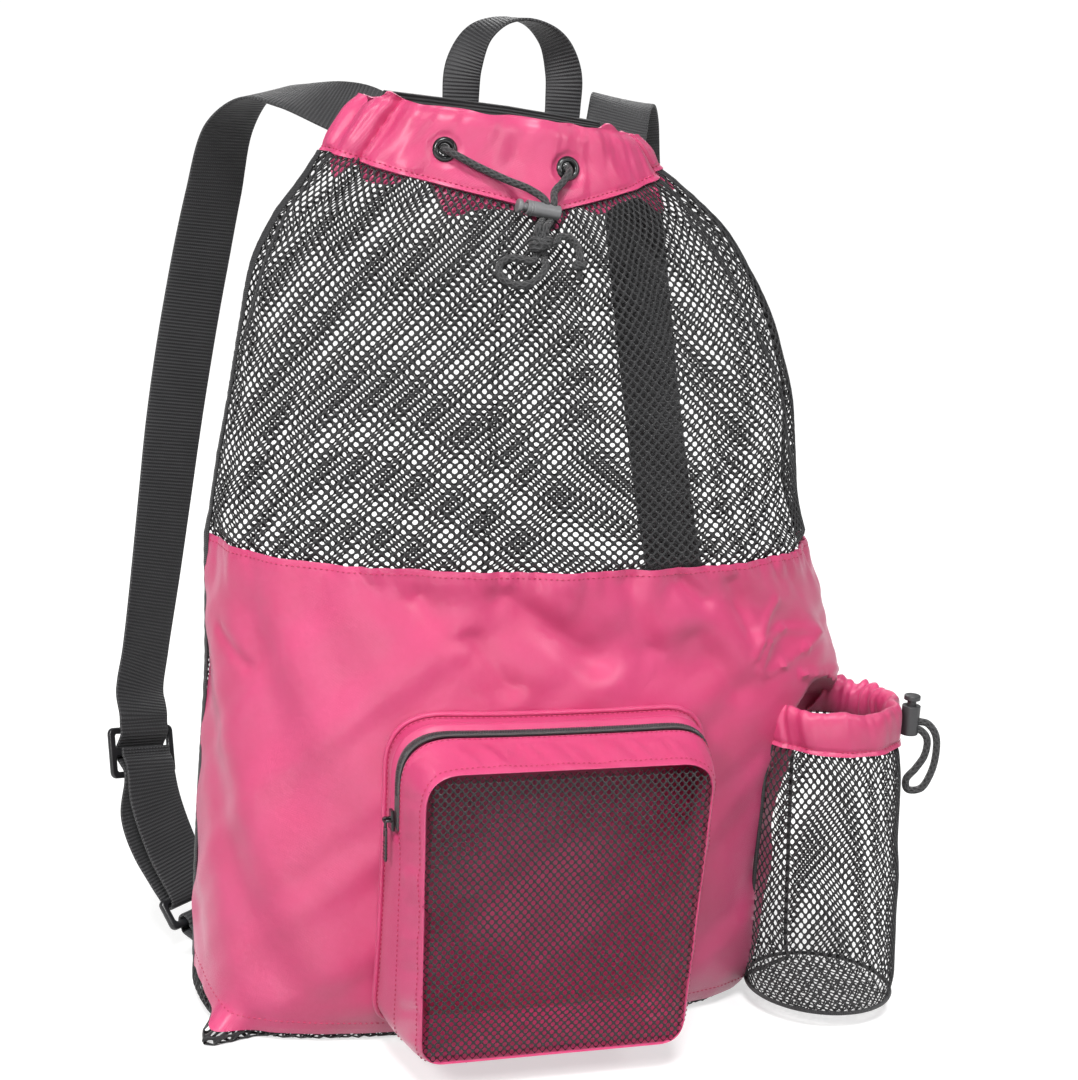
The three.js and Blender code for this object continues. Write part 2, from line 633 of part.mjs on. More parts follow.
// Cord lock along an axis: a bored barrel with a cross hole for the cord, and a button in its end.
function makeLock(name, at, axis, through, lock, button, hole) {
  const frame = new THREE.Matrix4().makeBasis(axis.clone().cross(through), axis, through).setPosition(at);
  const start = -lock.long / 2;
  const blind = start + lock.boreDeep;
  const { soft } = lock;
  const profile = [
    [0, blind],
    [lock.bore, blind],
    [lock.bore, start],
    [lock.radius - soft, start],
    [lock.radius, start + soft],
    [lock.radius, -start - soft],
    [lock.radius - soft, -start],
    [0, -start],
  ];
  const hollow = new THREE.BoxGeometry(hole.deep, hole.to - hole.from, 4 * lock.radius);
  hollow.translate(0, (hole.from + hole.to) / 2, 0);
  add(name + "_barrel", cut(lathe(profile, 12), hollow).applyMatrix4(frame), "lock");
  const tip = start + button.stemLong - button.travel - GAP;
  const head = start - button.travel - GAP;
  const plunger = [
    [0, head - button.headLong],
    [button.head - soft, head - button.headLong],
    [button.head, head - button.headLong + soft],
    [button.head, head],
    [button.stem, head],
    [button.stem, tip],
    [0, tip],
  ];
  add(name + "_button", lathe(plunger, 12).applyMatrix4(frame), "lock");
}

// Grab handle: webbing that stands on the yoke and twists over its top
const HANDLE_ROWS = [
  { x: -26, y: 83, z: 496, turn: 90 },
  { x: -27, y: 84, z: 512, turn: 90 },
  { x: -28, y: 85.5, z: 530, turn: 84 },
  { x: -27, y: 86, z: 548, turn: 62 },
  { x: -19, y: 86, z: 566, turn: 30 },
  { x: -4, y: 86, z: 575, turn: 6 },
  { x: 12, y: 86, z: 575, turn: -6 },
  { x: 27, y: 86, z: 565, turn: -30 },
  { x: 35, y: 86, z: 547, turn: -62 },
  { x: 36, y: 85.5, z: 529, turn: -84 },
  { x: 35, y: 84, z: 511, turn: -90 },
  { x: 34, y: 83, z: 496, turn: -90 },
];

function makeHandle() {
  const rows = HANDLE_ROWS.map((row) => ({ at: vec(row.x, row.y, row.z), turn: row.turn }));
  rows.forEach((row, i) => {
    const before = rows[Math.max(i - 1, 0)].at;
    const after = rows[Math.min(i + 1, rows.length - 1)].at;
    const ahead = after.clone().sub(before).normalize();
    row.across = Y.clone().applyAxisAngle(ahead, row.turn * degrees);
  });
  add("grab_handle", webbing(rows, HANDLE, 2 * (rows.length - 1)), "webbing");
}

// Shoulder straps. Each row gives the middle line and the direction across the webbing.
const STRAP_LEFT_ROWS = [
  { x: -57, y: 82, z: 488, acrossX: 0.85, acrossY: 0.12, acrossZ: 0.52 },
  { x: -68, y: 83, z: 504, acrossX: 0.8, acrossY: 0.12, acrossZ: 0.6 },
  { x: -84, y: 87, z: 515, acrossX: 0.72, acrossY: 0.2, acrossZ: 0.68 },
  { x: -102, y: 96, z: 521, acrossX: 0.62, acrossY: 0.45, acrossZ: 0.62 },
  { x: -120, y: 112, z: 524, acrossX: 0.6, acrossY: 0.7, acrossZ: 0.35 },
  { x: -138, y: 133, z: 522, acrossX: 0.72, acrossY: 0.68, acrossZ: 0.1 },
  { x: -151, y: 151, z: 502, acrossX: 0.88, acrossY: 0.46, acrossZ: 0 },
  { x: -157, y: 163, z: 460, acrossX: 0.96, acrossY: 0.28, acrossZ: 0 },
  { x: -163, y: 171, z: 413, acrossX: 0.98, acrossY: 0.2, acrossZ: 0 },
  { x: -169, y: 174, z: 366, acrossX: 0.98, acrossY: 0.2, acrossZ: 0 },
  { x: -174.5, y: 174, z: 318, acrossX: 0.97, acrossY: 0.25, acrossZ: 0 },
  { x: -179.5, y: 170, z: 270, acrossX: 0.93, acrossY: 0.36, acrossZ: 0 },
  { x: -185.5, y: 161, z: 222, acrossX: 0.88, acrossY: 0.47, acrossZ: 0 },
  { x: -192.5, y: 148, z: 178, acrossX: 0.82, acrossY: 0.57, acrossZ: 0 },
  { x: -197, y: 136.5, z: 156, acrossX: 0.79, acrossY: 0.61, acrossZ: 0.04 },
];
const STRAP_RIGHT_ROWS = [
  { x: 63, y: 77, z: 486, acrossX: 0.92, acrossY: -0.38, acrossZ: -0.1 },
  { x: 67, y: 79, z: 502, acrossX: 0.92, acrossY: -0.38, acrossZ: -0.12 },
  { x: 72, y: 87, z: 518, acrossX: 0.96, acrossY: -0.25, acrossZ: -0.14 },
  { x: 78, y: 99, z: 530, acrossX: 1, acrossY: -0.15, acrossZ: -0.14 },
  { x: 87, y: 116, z: 531, acrossX: 0.98, acrossY: -0.15, acrossZ: -0.14 },
  { x: 98, y: 134, z: 517, acrossX: 0.98, acrossY: -0.15, acrossZ: -0.1 },
  { x: 108, y: 149, z: 487, acrossX: 0.98, acrossY: -0.15, acrossZ: 0 },
  { x: 120, y: 162, z: 444, acrossX: 0.98, acrossY: -0.17, acrossZ: 0 },
  { x: 132, y: 170, z: 396, acrossX: 0.98, acrossY: -0.2, acrossZ: 0 },
  { x: 143, y: 174, z: 346, acrossX: 0.98, acrossY: -0.2, acrossZ: 0 },
  { x: 153, y: 173, z: 296, acrossX: 0.97, acrossY: -0.25, acrossZ: 0 },
  { x: 162, y: 168, z: 248, acrossX: 0.93, acrossY: -0.36, acrossZ: 0 },
  { x: 170.5, y: 159, z: 206, acrossX: 0.88, acrossY: -0.47, acrossZ: 0 },
  { x: 178, y: 148, z: 176, acrossX: 0.82, acrossY: -0.57, acrossZ: 0 },
  { x: 183, y: 136.5, z: 154, acrossX: 0.79, acrossY: -0.61, acrossZ: -0.04 },
];

// Three-bar slider, ring and lower loop of a strap. Down and out are distances from the slider's
// or ring's middle along the webbing and off its face towards the bag.
const SLIDER = { bar: 4, slot: 9.5, slotWide: 42, thick: 3.2, side: 4.5, corner: 4 };
const RING = { bar: 4.5, gap: 11, gapWide: 41, thick: 4.5, side: 4.5, corner: 3.5, bend: 4.6 };
const ANCHOR = { width: 30, thick: 1.6, angle: 130, low: 9, high: 18.5, over: 4.5, inner: 1.6, outer: 3.8 };
const STRAP_ENDS = [
  {
    side: "left",
    rows: STRAP_LEFT_ROWS,
    slider: { at: [-197, 121, 121], across: [0.8, 0.58, 0.1], down: [0.05, -0.36, -0.93], shift: -0.8 },
    ring: { at: [-168, 84, 34], across: [0.88, 0.48, 0], down: [0.4, -0.5, -0.77] },
    backRun: [[-196, 112.5, 83.5], [-188, 105, 59]],
    frontRun: [[-181.5, 96, 67], [-191, 105.5, 95]],
    anchorAngle: -ANCHOR.angle,
  },
  {
    side: "right",
    rows: STRAP_RIGHT_ROWS,
    slider: { at: [183, 121, 119], across: [0.8, -0.58, -0.1], down: [-0.05, -0.36, -0.93], shift: 0.8 },
    ring: { at: [155, 84, 34], across: [0.88, -0.48, 0], down: [-0.4, -0.5, -0.77] },
    backRun: [[182, 112.5, 81.5], [174, 105, 57]],
    frontRun: [[167.5, 96, 65], [177, 105.5, 93]],
    anchorAngle: ANCHOR.angle,
  },
];

// Frame of a fitting: across the webbing, down along it and out of its face.
function fittingFrame({ at, across, down }) {
  const middle = vec(...at);
  const along = vec(...down).normalize();
  const wide = vec(...across);
  wide.addScaledVector(along, -wide.dot(along)).normalize();
  const behind = wide.clone().cross(along);
  const row = (downBy, outBy) => ({
    at: middle.clone().addScaledVector(along, downBy).addScaledVector(behind, -outBy),
    across: wide,
  });
  const matrix = new THREE.Matrix4().makeBasis(wide, along, behind).setPosition(middle);
  return { wide, row, matrix };
}

// Rows of webbing that turn round a bar of a fitting, from behind it to its front.
function roundBar(frame, bar, radius, way) {
  return [-90, -45, 0, 45, 90].map((turn) =>
    frame.row(bar + way * radius * Math.cos(turn * degrees), radius * Math.sin(turn * degrees)),
  );
}

// Flat plastic frame with slots, drawn across (x) and down (y).
function slottedPlate(wide, tall, corner, thick, slots) {
  const outline = roundedRectangle(-wide / 2, -tall / 2, wide, tall, corner);
  for (const slot of slots) {
    outline.holes.push(roundedRectangle(-slot.wide / 2, slot.from, slot.wide, slot.to - slot.from, 1.2));
  }
  const bevel = 0.6;
  return new THREE.ExtrudeGeometry(outline, {
    depth: thick - 2 * bevel,
    bevelThickness: bevel,
    bevelSize: bevel,
    bevelOffset: -bevel,
    bevelSegments: 1,
    curveSegments: 1,
  }).translate(0, 0, -thick / 2 + bevel);
}
function roundedRectangle(x, y, wide, tall, corner) {
  const shape = new THREE.Shape();
  shape.moveTo(x + corner, y);
  shape.lineTo(x + wide - corner, y);
  shape.quadraticCurveTo(x + wide, y, x + wide, y + corner);
  shape.lineTo(x + wide, y + tall - corner);
  shape.quadraticCurveTo(x + wide, y + tall, x + wide - corner, y + tall);
  shape.lineTo(x + corner, y + tall);
  shape.quadraticCurveTo(x, y + tall, x, y + tall - corner);
  shape.lineTo(x, y + corner);
  shape.quadraticCurveTo(x, y, x + corner, y);
  return shape;
}

function makeStrap(end) {
  const slider = fittingFrame(end.slider);
  const ring = fittingFrame(end.ring);
  const inner = SLIDER.bar / 2;
  const outer = SLIDER.bar / 2 + SLIDER.slot;
  const sliderTall = 2 * (outer + SLIDER.bar);
  const plate = slottedPlate(SLIDER.slotWide + 2 * SLIDER.side, sliderTall, SLIDER.corner, SLIDER.thick, [
    { wide: SLIDER.slotWide, from: -outer, to: -inner },
    { wide: SLIDER.slotWide, from: inner, to: outer },
  ]);
  add("slider_" + end.side, plate.translate(end.slider.shift, 0, 0).applyMatrix4(slider.matrix), "plastic");
  const ringHalf = RING.gap / 2;
  const ringTall = RING.gap + 2 * RING.bar;
  const ringPlate = slottedPlate(RING.gapWide + 2 * RING.side, ringTall, RING.corner, RING.thick, [
    { wide: RING.gapWide, from: -ringHalf, to: ringHalf },
  ]);
  add("ring_" + end.side, ringPlate.applyMatrix4(ring.matrix), "plastic");

  const clear = SLIDER.thick / 2 + STRAP.thick / 2 + GAP;
  const slotMiddle = (inner + outer) / 2;
  const beyond = outer + SLIDER.bar + 1.5;
  const lowBar = ringHalf + RING.bar / 2;
  const loose = (points, across) => points.map((at) => ({ at: vec(...at), across }));
  const rows = [
    ...end.rows.map((row) => ({ at: vec(row.x, row.y, row.z), across: vec(row.acrossX, row.acrossY, row.acrossZ) })),
    slider.row(-beyond - 5, clear + 0.4),
    slider.row(-beyond, clear),
    slider.row(-outer + 0.3, clear),
    slider.row(-slotMiddle, 0),
    slider.row(-inner - 0.3, -clear),
    slider.row(inner + 0.3, -clear),
    slider.row(slotMiddle, 0),
    slider.row(outer - 0.3, clear),
    slider.row(beyond, clear),
    ...loose(end.backRun, slider.wide),
    ...roundBar(ring, -lowBar, RING.bend, 1),
    ...loose(end.frontRun, ring.wide),
    slider.row(outer + 2, clear + 3.2),
    slider.row(slotMiddle - 1, clear + 2),
    slider.row(inner, clear),
    slider.row(-inner - 0.8, clear),
  ];
  add("strap_" + end.side, webbing(rows, STRAP, 2 * (rows.length - 1)), "webbing");
  makeAnchor(end, ring, lowBar);
}

// Short tab that is sewn to the bag's bottom corner and looped through the ring.
function makeAnchor(end, ring, lowBar) {
  const angle = end.anchorAngle * degrees;
  const out = bodyNormal(angle, ANCHOR.high);
  const across = Z.clone().cross(out).multiplyScalar(Math.sign(-end.anchorAngle)).normalize();
  across.multiplyScalar(Math.sign(across.dot(ring.wide)));
  const sewn = (z, off) => ({ at: bodyPoint(angle, z).addScaledVector(out, off), across });
  const rows = [
    sewn(ANCHOR.low, ANCHOR.outer),
    sewn(ANCHOR.high, ANCHOR.outer),
    ring.row(lowBar + RING.bar, -RING.bend),
    ...roundBar(ring, lowBar, RING.bend, -1),
    ring.row(lowBar + RING.bar, RING.bend),
    sewn(ANCHOR.high + ANCHOR.over, ANCHOR.inner),
    sewn(ANCHOR.low, ANCHOR.inner),
  ];
  add("anchor_" + end.side, webbing(rows, ANCHOR, 2 * (rows.length - 1)), "webbing");
}

// Front pocket
function pocketOutline({ left, right, bottom, top, taper, topCorner, bottomCorner }) {
  const path = new THREE.Path();
  const [lowLeft, lowRight] = [left + taper, right - taper];
  const middle = (left + right) / 2;
  const lean = taper / (top - bottom);
  path.moveTo(middle, bottom);
  path.lineTo(lowRight - bottomCorner, bottom);
  path.quadraticCurveTo(lowRight, bottom, lowRight + lean * bottomCorner, bottom + bottomCorner);
  path.lineTo(right - lean * topCorner, top - topCorner);
  path.quadraticCurveTo(right, top, right - topCorner, top);
  path.lineTo(left + topCorner, top);
  path.quadraticCurveTo(left, top, left + lean * topCorner, top - topCorner);
  path.lineTo(lowLeft - lean * bottomCorner, bottom + bottomCorner);
  path.quadraticCurveTo(lowLeft, bottom, lowLeft + bottomCorner, bottom);
  path.lineTo(middle, bottom);
  return path;
}
const pocketBase = pocketOutline(POCKET_BASE);
const pocketFace = pocketOutline(POCKET_FACE);

// Point of the gusset at a share of the way round, a share of its depth and a step in.
function gussetPoint(round, depth, inset) {
  const t = THREE.MathUtils.euclideanModulo(round, 1);
  const base = pocketBase.getPoint(t);
  const face = pocketFace.getPoint(t);
  const ahead = pocketFace.getTangent(t);
  const spot = base.lerp(face, depth).add(new THREE.Vector2(-ahead.y, ahead.x).multiplyScalar(inset));
  const panel = panelY(spot.x, spot.y) - POCKET_OFF_PANEL;
  return vec(spot.x, mix(panel, POCKET_FACE_Y, depth), spot.y);
}

// Outward direction of the gusset at a share of the way round.
function gussetNormal(round) {
  const ahead = pocketFace.getTangent(THREE.MathUtils.euclideanModulo(round, 1));
  return vec(ahead.y, 0, -ahead.x);
}

function makePocket() {
  const rows = GUSSET_PROFILE.length - 1;
  const surface = (u, v) => {
    const place = Math.min(v * rows, rows - 1e-9);
    const row = Math.floor(place);
    const [a, b] = [GUSSET_PROFILE[row], GUSSET_PROFILE[row + 1]];
    return gussetPoint(u, mix(a.depth, b.depth, place - row), mix(a.inset, b.inset, place - row));
  };
  const zipRows = (lift) => {
    const made = [];
    for (let i = 0; i <= ZIP.steps; i++) {
      const round = mix(ZIP.from, ZIP.to, i / ZIP.steps);
      const at = gussetPoint(round, ZIP.depth, ZIP.inset).addScaledVector(gussetNormal(round), lift);
      made.push({ at, across: Y });
    }
    return made;
  };
  const slot = webbing(zipRows(-CLOTH / 2), { width: ZIP.width + 2 * GAP, thick: ZIP.slotDeep }, ZIP.steps);
  add("pocket_gusset", cut(wall(surface, GUSSET_COLUMNS, rows, { loop: true }), slot), "pink");
  const chain = zipRows(-CLOTH / 2 + 0.2).slice(1, -1);
  add("zip_chain", webbing(chain, { width: ZIP.width, thick: ZIP.thick }, ZIP.steps - 2), "webbing");
  const lip = GUSSET_PROFILE[rows].inset + SEAM_GAP;
  const middle = vec((POCKET_FACE.left + POCKET_FACE.right) / 2, POCKET_FACE_Y, (POCKET_FACE.top + POCKET_FACE.bottom) / 2);
  const window = (u, v) => {
    const rim = gussetPoint(u, 1, lip);
    const point = rim.lerp(middle, v);
    point.y -= POCKET_WINDOW_CROWN * smooth(v * 1.6);
    return point;
  };
  const net = wall(window, GUSSET_COLUMNS, WINDOW_ROWS, { loop: true, thick: 1.2 });
  add("pocket_window", net, "net");
  makeZipSlider();
}

// Slider on the zip's left end, with its pull hanging from a pin that lies along Y.
// Drawn with x to the front, y up the zip and z out of the gusset.
function makeZipSlider() {
  const round = ZIP.to - ZIP.sliderBack;
  const out = gussetNormal(round);
  const base = gussetPoint(round, ZIP.depth, ZIP.inset).addScaledVector(out, SLIDER_BODY.off);
  const frame = new THREE.Matrix4().makeBasis(Y.clone().negate(), Y.clone().cross(out), out).setPosition(base);
  const { long, wide, plate, cheek, apart, pin, pinOut, cheekTall } = SLIDER_BODY;
  const [half, side] = [long / 2, wide / 2];
  const outline = new THREE.Shape();
  outline.moveTo(-side, -half);
  outline.lineTo(side, -half);
  outline.quadraticCurveTo(side, half * 0.4, side * 0.55, half);
  outline.lineTo(-side * 0.55, half);
  outline.quadraticCurveTo(-side, half * 0.4, -side, -half);
  let body = solidOf(new THREE.ExtrudeGeometry(outline, { depth: plate, bevelEnabled: false, curveSegments: 3 }));
  for (const way of [-1, 1]) {
    const post = new THREE.BoxGeometry(cheek, cheekTall, pinOut + 2 * pin);
    body = body.add(solidOf(post.translate((way * (apart + cheek)) / 2, 0, (pinOut + 2 * pin) / 2)));
  }
  const rod = new THREE.CylinderGeometry(pin, pin, apart + cheek, 8).rotateZ(QUARTER).translate(0, 0, pinOut);
  body = body.add(solidOf(rod));
  add("zip_slider", geometryOf(body).applyMatrix4(frame), "metal");

  const eye = new THREE.CylinderGeometry(PULL.eye, PULL.eye, PULL.neck, 10).rotateZ(QUARTER);
  const bore = new THREE.CylinderGeometry(PULL.bore, PULL.bore, 2 * PULL.neck, 8).rotateZ(QUARTER);
  const neckLong = PULL.neckLong;
  const neck = new THREE.BoxGeometry(PULL.neck, neckLong, PULL.thick).translate(0, -neckLong / 2, 0);
  const tab = roundedRectangle(-PULL.wide / 2, -PULL.long, PULL.wide, PULL.long - neckLong + 0.5, PULL.corner);
  const blade = new THREE.ExtrudeGeometry(tab, { depth: PULL.thick, bevelEnabled: false, curveSegments: 2 });
  blade.translate(0, 0, -PULL.thick / 2);
  const pull = solidOf(eye).add(solidOf(neck)).add(solidOf(blade)).subtract(solidOf(bore));
  const hung = frame.clone().multiply(new THREE.Matrix4().makeTranslation(0, 0, pinOut));
  add("zip_pull", geometryOf(pull).applyMatrix4(hung), "metal");
}

// Bottle pocket
const BOTTLE_GRID = { columns: 24, rows: 4 };
const BOTTLE_COLLAR_GRID = { columns: 48, rows: 2 };
const BLANK = { lift: 1, below: -20, above: 330, backColumns: 8 };

// Solid of the body with its face lifted a little, for trimming what lies against it.
function bodyBlank() {
  const { columns, rows } = PANEL_GRID;
  const all = columns + BLANK.backColumns + 2;
  const angleOf = (i) => (i <= columns ? frontAngle(i / columns) : backAngle((i - columns - 1) / BLANK.backColumns));
  const face = (u, v) => {
    const angle = wrapped(angleOf(Math.round(u * all)));
    const row = Math.round(v * (rows + 2)) - 1;
    if (row < 0) return bodyPoint(angle, BLANK.below, BLANK.lift);
    if (row > rows) return bodyPoint(angle, BLANK.above, BLANK.lift);
    const [low, high] = [hemHeight(angle) + SEAM_GAP / 2, SEAM_HEIGHT - SEAM_GAP / 2];
    return bodyPoint(angle, mix(low, high, row / rows), BLANK.lift);
  };
  return lump(face, all, rows + 2);
}

function makeBottlePocket() {
  const blank = bodyBlank();
  const round = (radius, z, turn) => bottleAxis(z).add(vec(radius * Math.sin(turn), -radius * Math.cos(turn), 0));
  const tubeTop = BOTTLE_TUBE[BOTTLE_TUBE.length - 1].z;
  const tube = (u, v) => {
    const z = mix(BOTTLE_TUBE[0].z, tubeTop, v);
    return round(column(BOTTLE_TUBE, "radius", z), z, 2 * Math.PI * u);
  };
  const net = wall(tube, BOTTLE_GRID.columns, BOTTLE_GRID.rows, { loop: true });
  add("bottle_pocket_mesh", cut(net, blank), "net");
  const { bottom, height, radius, flare, ruffle, folds, thick } = BOTTLE_COLLAR;
  const lockTurn = BOTTLE_LOCK.turn * degrees;
  const wave = (turn, v) => -ruffle * (0.35 + 0.65 * v) * Math.cos((turn - lockTurn) * folds);
  const collarRadius = (turn, v) => radius - flare + flare * (2 * v - 1) ** 2 + wave(turn, v);
  const collar = (u, v) => {
    const turn = 2 * Math.PI * u;
    return round(collarRadius(turn, v), mix(bottom, bottom + height, v), turn);
  };
  const ruffled = wall(collar, BOTTLE_COLLAR_GRID.columns, BOTTLE_COLLAR_GRID.rows, { loop: true, thick });
  add("bottle_pocket_collar", cut(ruffled, blank), "pink");
  const floorRadius = BOTTLE_TUBE[0].radius - CLOTH - GAP;
  const floorZ = BOTTLE_TUBE[0].z + CLOTH / 2;
  const floor = new THREE.CylinderGeometry(floorRadius, floorRadius, CLOTH, BOTTLE_GRID.columns);
  add("bottle_pocket_base", cut(aim(floor, Z, bottleAxis(floorZ)), blank), "net");

  const through = vec(Math.sin(lockTurn), -Math.cos(lockTurn), 0);
  const at = bottleAxis(BOTTLE_LOCK.z).addScaledVector(through, BOTTLE_LOCK.reach);
  makeLock("bottle_lock", at, Z.clone().negate(), through, BOTTLE_LOCK, BOTTLE_BUTTON, BOTTLE_HOLE);
  const inside = collarRadius(lockTurn, 0.5) + 3 * SEAM_GAP - BOTTLE_LOCK.reach;
  const [upper, lower] = BOTTLE_HOLE.strands;
  const spot = ([right, up]) => at.clone().addScaledVector(through, right).addScaledVector(Z, up);
  const loop = [[inside, -upper], [BOTTLE_LOCK.radius, -upper], ...BOTTLE_CORD_RUN, [BOTTLE_LOCK.radius, -lower], [inside, -lower]];
  add("bottle_cord", cord(loop.map(spot), BOTTLE_CORD, 24), "cord");
}

makeBody();
makeCollar();
makeDrawcord();
makeHandle();
STRAP_ENDS.forEach(makeStrap);
makePocket();
makeBottlePocket();

export default bag;
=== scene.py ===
"""Mesh swim backpack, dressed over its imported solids: nylon, net, webbing, cord and small fittings."""

import logging
import math
from dataclasses import dataclass, field
from enum import Enum
from typing import Any, Callable, Sequence

import bpy
import numpy as np
from mathutils import Matrix


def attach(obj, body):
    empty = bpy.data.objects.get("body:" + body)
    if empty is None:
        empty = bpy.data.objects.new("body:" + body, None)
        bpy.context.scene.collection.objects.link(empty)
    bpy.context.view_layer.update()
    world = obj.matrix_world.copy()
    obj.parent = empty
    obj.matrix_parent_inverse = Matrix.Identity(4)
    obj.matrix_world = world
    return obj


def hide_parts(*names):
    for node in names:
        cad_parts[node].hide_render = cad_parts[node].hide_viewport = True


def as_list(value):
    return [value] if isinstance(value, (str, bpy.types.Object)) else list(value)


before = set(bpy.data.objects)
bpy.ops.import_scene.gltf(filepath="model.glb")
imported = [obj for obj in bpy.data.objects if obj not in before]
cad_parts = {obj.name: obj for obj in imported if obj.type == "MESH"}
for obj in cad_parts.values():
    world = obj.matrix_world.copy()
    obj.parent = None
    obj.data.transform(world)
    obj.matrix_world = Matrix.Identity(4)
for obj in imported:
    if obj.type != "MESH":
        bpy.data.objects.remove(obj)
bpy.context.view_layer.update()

Array = np.ndarray
Maker = Callable[[Array, Array], Array]
Row = tuple[Array, Array]
Place = tuple[float, float, float]
Table = tuple[tuple[float, ...], ...]
Piece = bpy.types.Object
Socket = bpy.types.NodeSocket
log = logging.getLogger("backpack")

MM = 0.001
QUARTER = math.pi / 2
TURN = 2 * math.pi
CLOTH_MAP = "cloth"
BAKE_MAP = "OFBake"
BAG = "bag"
X_WAY = np.array([1.0, 0.0, 0.0])
Y_WAY = np.array([0.0, 1.0, 0.0])
Z_WAY = np.array([0.0, 0.0, 1.0])
WHITE = (1.0, 1.0, 1.0)
# width and shift of the two faces of a sheet in its bake places
FACE_WIDE = 0.49
FACE_SHIFT = 0.51
# angles in degrees above which an edge isn't smoothed
MOULDED_EDGE = 35.0
TURNED_EDGE = 40.0
CLOTH_EDGE = 50.0
ROUND_EDGE = 60.0
NET_EDGE = 180.0
# least area of a net as a share of its flat size
LEAST_AREA = 0.3001


class Slot(Enum):
    """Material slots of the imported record."""

    PINK = "pink"
    NET = "net"
    WEBBING = "webbing"
    CORD = "cord"
    PLASTIC = "plastic"
    LOCK = "lock"
    METAL = "metal"


class Side(Enum):
    """The two sides of the bag, seen from the front."""

    LEFT = "left"
    RIGHT = "right"


# Small mathematics


def smooth(share: Array) -> Array:
    """Ease a share from 0 to 1."""
    t = np.clip(share, 0.0, 1.0)
    return t * t * (3 - 2 * t)


def mix(a: Any, b: Any, share: Any) -> Any:
    """Go from a to b by a share."""
    return a + (b - a) * share


def unit(ways: Array) -> Array:
    """Scale vectors to length one."""
    length = np.linalg.norm(ways, axis=-1, keepdims=True)
    return ways / np.maximum(length, 1e-12)


def wrapped(angle: Array) -> Array:
    """Keep angles within half a turn of the front."""
    return np.where(angle > math.pi, angle - TURN, angle)


def bell(away: Array, half: Array | float) -> Array:
    """Fall off from 1 on both sides of a place."""
    return np.exp(-((away / half) ** 2))


def run_along(line: Array) -> Array:
    """Measure the way from the first point of a line to each of its points."""
    return np.concatenate([[0.0], np.cumsum(np.linalg.norm(np.diff(line, axis=0), axis=1))])


def ripple(along: Array, pitch: float, seed: float) -> Array:
    """Add up uneven waves, as in gathered cloth.

    Args:
        along: Distances along the cloth.
        pitch: Usual distance between two folds.
        seed: Number that sets the phases.

    Returns:
        Heights from about -1 to 1.
    """
    total = np.zeros_like(along)
    for share, weight in ((1.0, 0.5), (0.73, 0.3), (1.61, 0.2), (0.41, 0.25)):
        total += weight * np.cos(TURN * along / (pitch / share) + seed * (1.7 + 3.1 * share))
    return total


@dataclass(frozen=True)
class Wave:
    """Uneven waves of cloth: their height, usual pitch and a number that sets the phases."""

    height: float
    pitch: float
    seed: float

    def at(self, along: Array) -> Array:
        """Give the heights at distances along the cloth."""
        return self.height * ripple(along, self.pitch, self.seed)


def valleys(rows: Sequence[Sequence[float]], angle: Array, z: Array, scale: float) -> Array:
    """Add up creases, each along a straight line on the unrolled face.

    Args:
        rows: From angle and height, to angle and height, depth and half width.
        angle: Angles from the front.
        z: Heights.
        scale: Millimetres for one radian.

    Returns:
        Heights off the face: a valley is negative.
    """
    total = np.zeros(np.broadcast(angle, z).shape)
    for from_angle, from_z, to_angle, to_z, deep, half in rows:
        start = np.array([math.radians(from_angle) * scale, from_z])
        run = np.array([math.radians(to_angle) * scale, to_z]) - start
        x, y = angle * scale - start[0], z - start[1]
        along = np.clip((x * run[0] + y * run[1]) / float(run @ run), 0, 1)
        away = ((x - along * run[0]) ** 2 + (y - along * run[1]) ** 2) / half**2
        total -= deep * np.exp(-away)
    return total


class Spline:
    """Centripetal curve through points, spaced evenly in its own parameter."""

    def __init__(self, points: Sequence[Sequence[float]]) -> None:
        """Keep the points and one more beyond each end."""
        inner = np.array(points, float)
        first = 2 * inner[0] - inner[1]
        last = 2 * inner[-1] - inner[-2]
        self.points = np.vstack([first, inner, last])
        self.pieces = len(inner) - 1

    def at(self, share: Array) -> Array:
        """Read the curve.

        Args:
            share: Places from 0 to 1.

        Returns:
            One point for each place.
        """
        place = np.clip(np.asarray(share, float), 0.0, 1.0) * self.pieces
        piece = np.minimum(place.astype(int), self.pieces - 1)
        t = (place - piece)[..., None]
        a, b, c, d = (self.points[piece + k] for k in range(4))
        before = np.maximum(np.linalg.norm(b - a, axis=-1, keepdims=True), 1e-6) ** 0.5
        here = np.maximum(np.linalg.norm(c - b, axis=-1, keepdims=True), 1e-6) ** 0.5
        after = np.maximum(np.linalg.norm(d - c, axis=-1, keepdims=True), 1e-6) ** 0.5
        leave = ((b - a) / before - (c - a) / (before + here) + (c - b) / here) * here
        arrive = ((c - b) / here - (d - b) / (here + after) + (d - c) / after) * here
        square = t * t
        cube = square * t
        start = (2 * cube - 3 * square + 1) * b + (cube - 2 * square + t) * leave
        return start + (3 * square - 2 * cube) * c + (cube - square) * arrive

    def length(self) -> float:
        """Measure the curve."""
        line = self.at(np.linspace(0, 1, 60 * self.pieces))
        return float(np.linalg.norm(np.diff(line, axis=0), axis=1).sum())


def evenly(line: Array, step: float) -> Array:
    """Space a line's points evenly.

    Args:
        line: Points of a line.
        step: Wanted distance between points.

    Returns:
        New points along the same line.
    """
    run = run_along(line)
    count = max(int(round(run[-1] / step)), 2)
    wanted = np.linspace(0, run[-1], count + 1)
    return np.stack([np.interp(wanted, run, line[:, k]) for k in range(3)], axis=1)


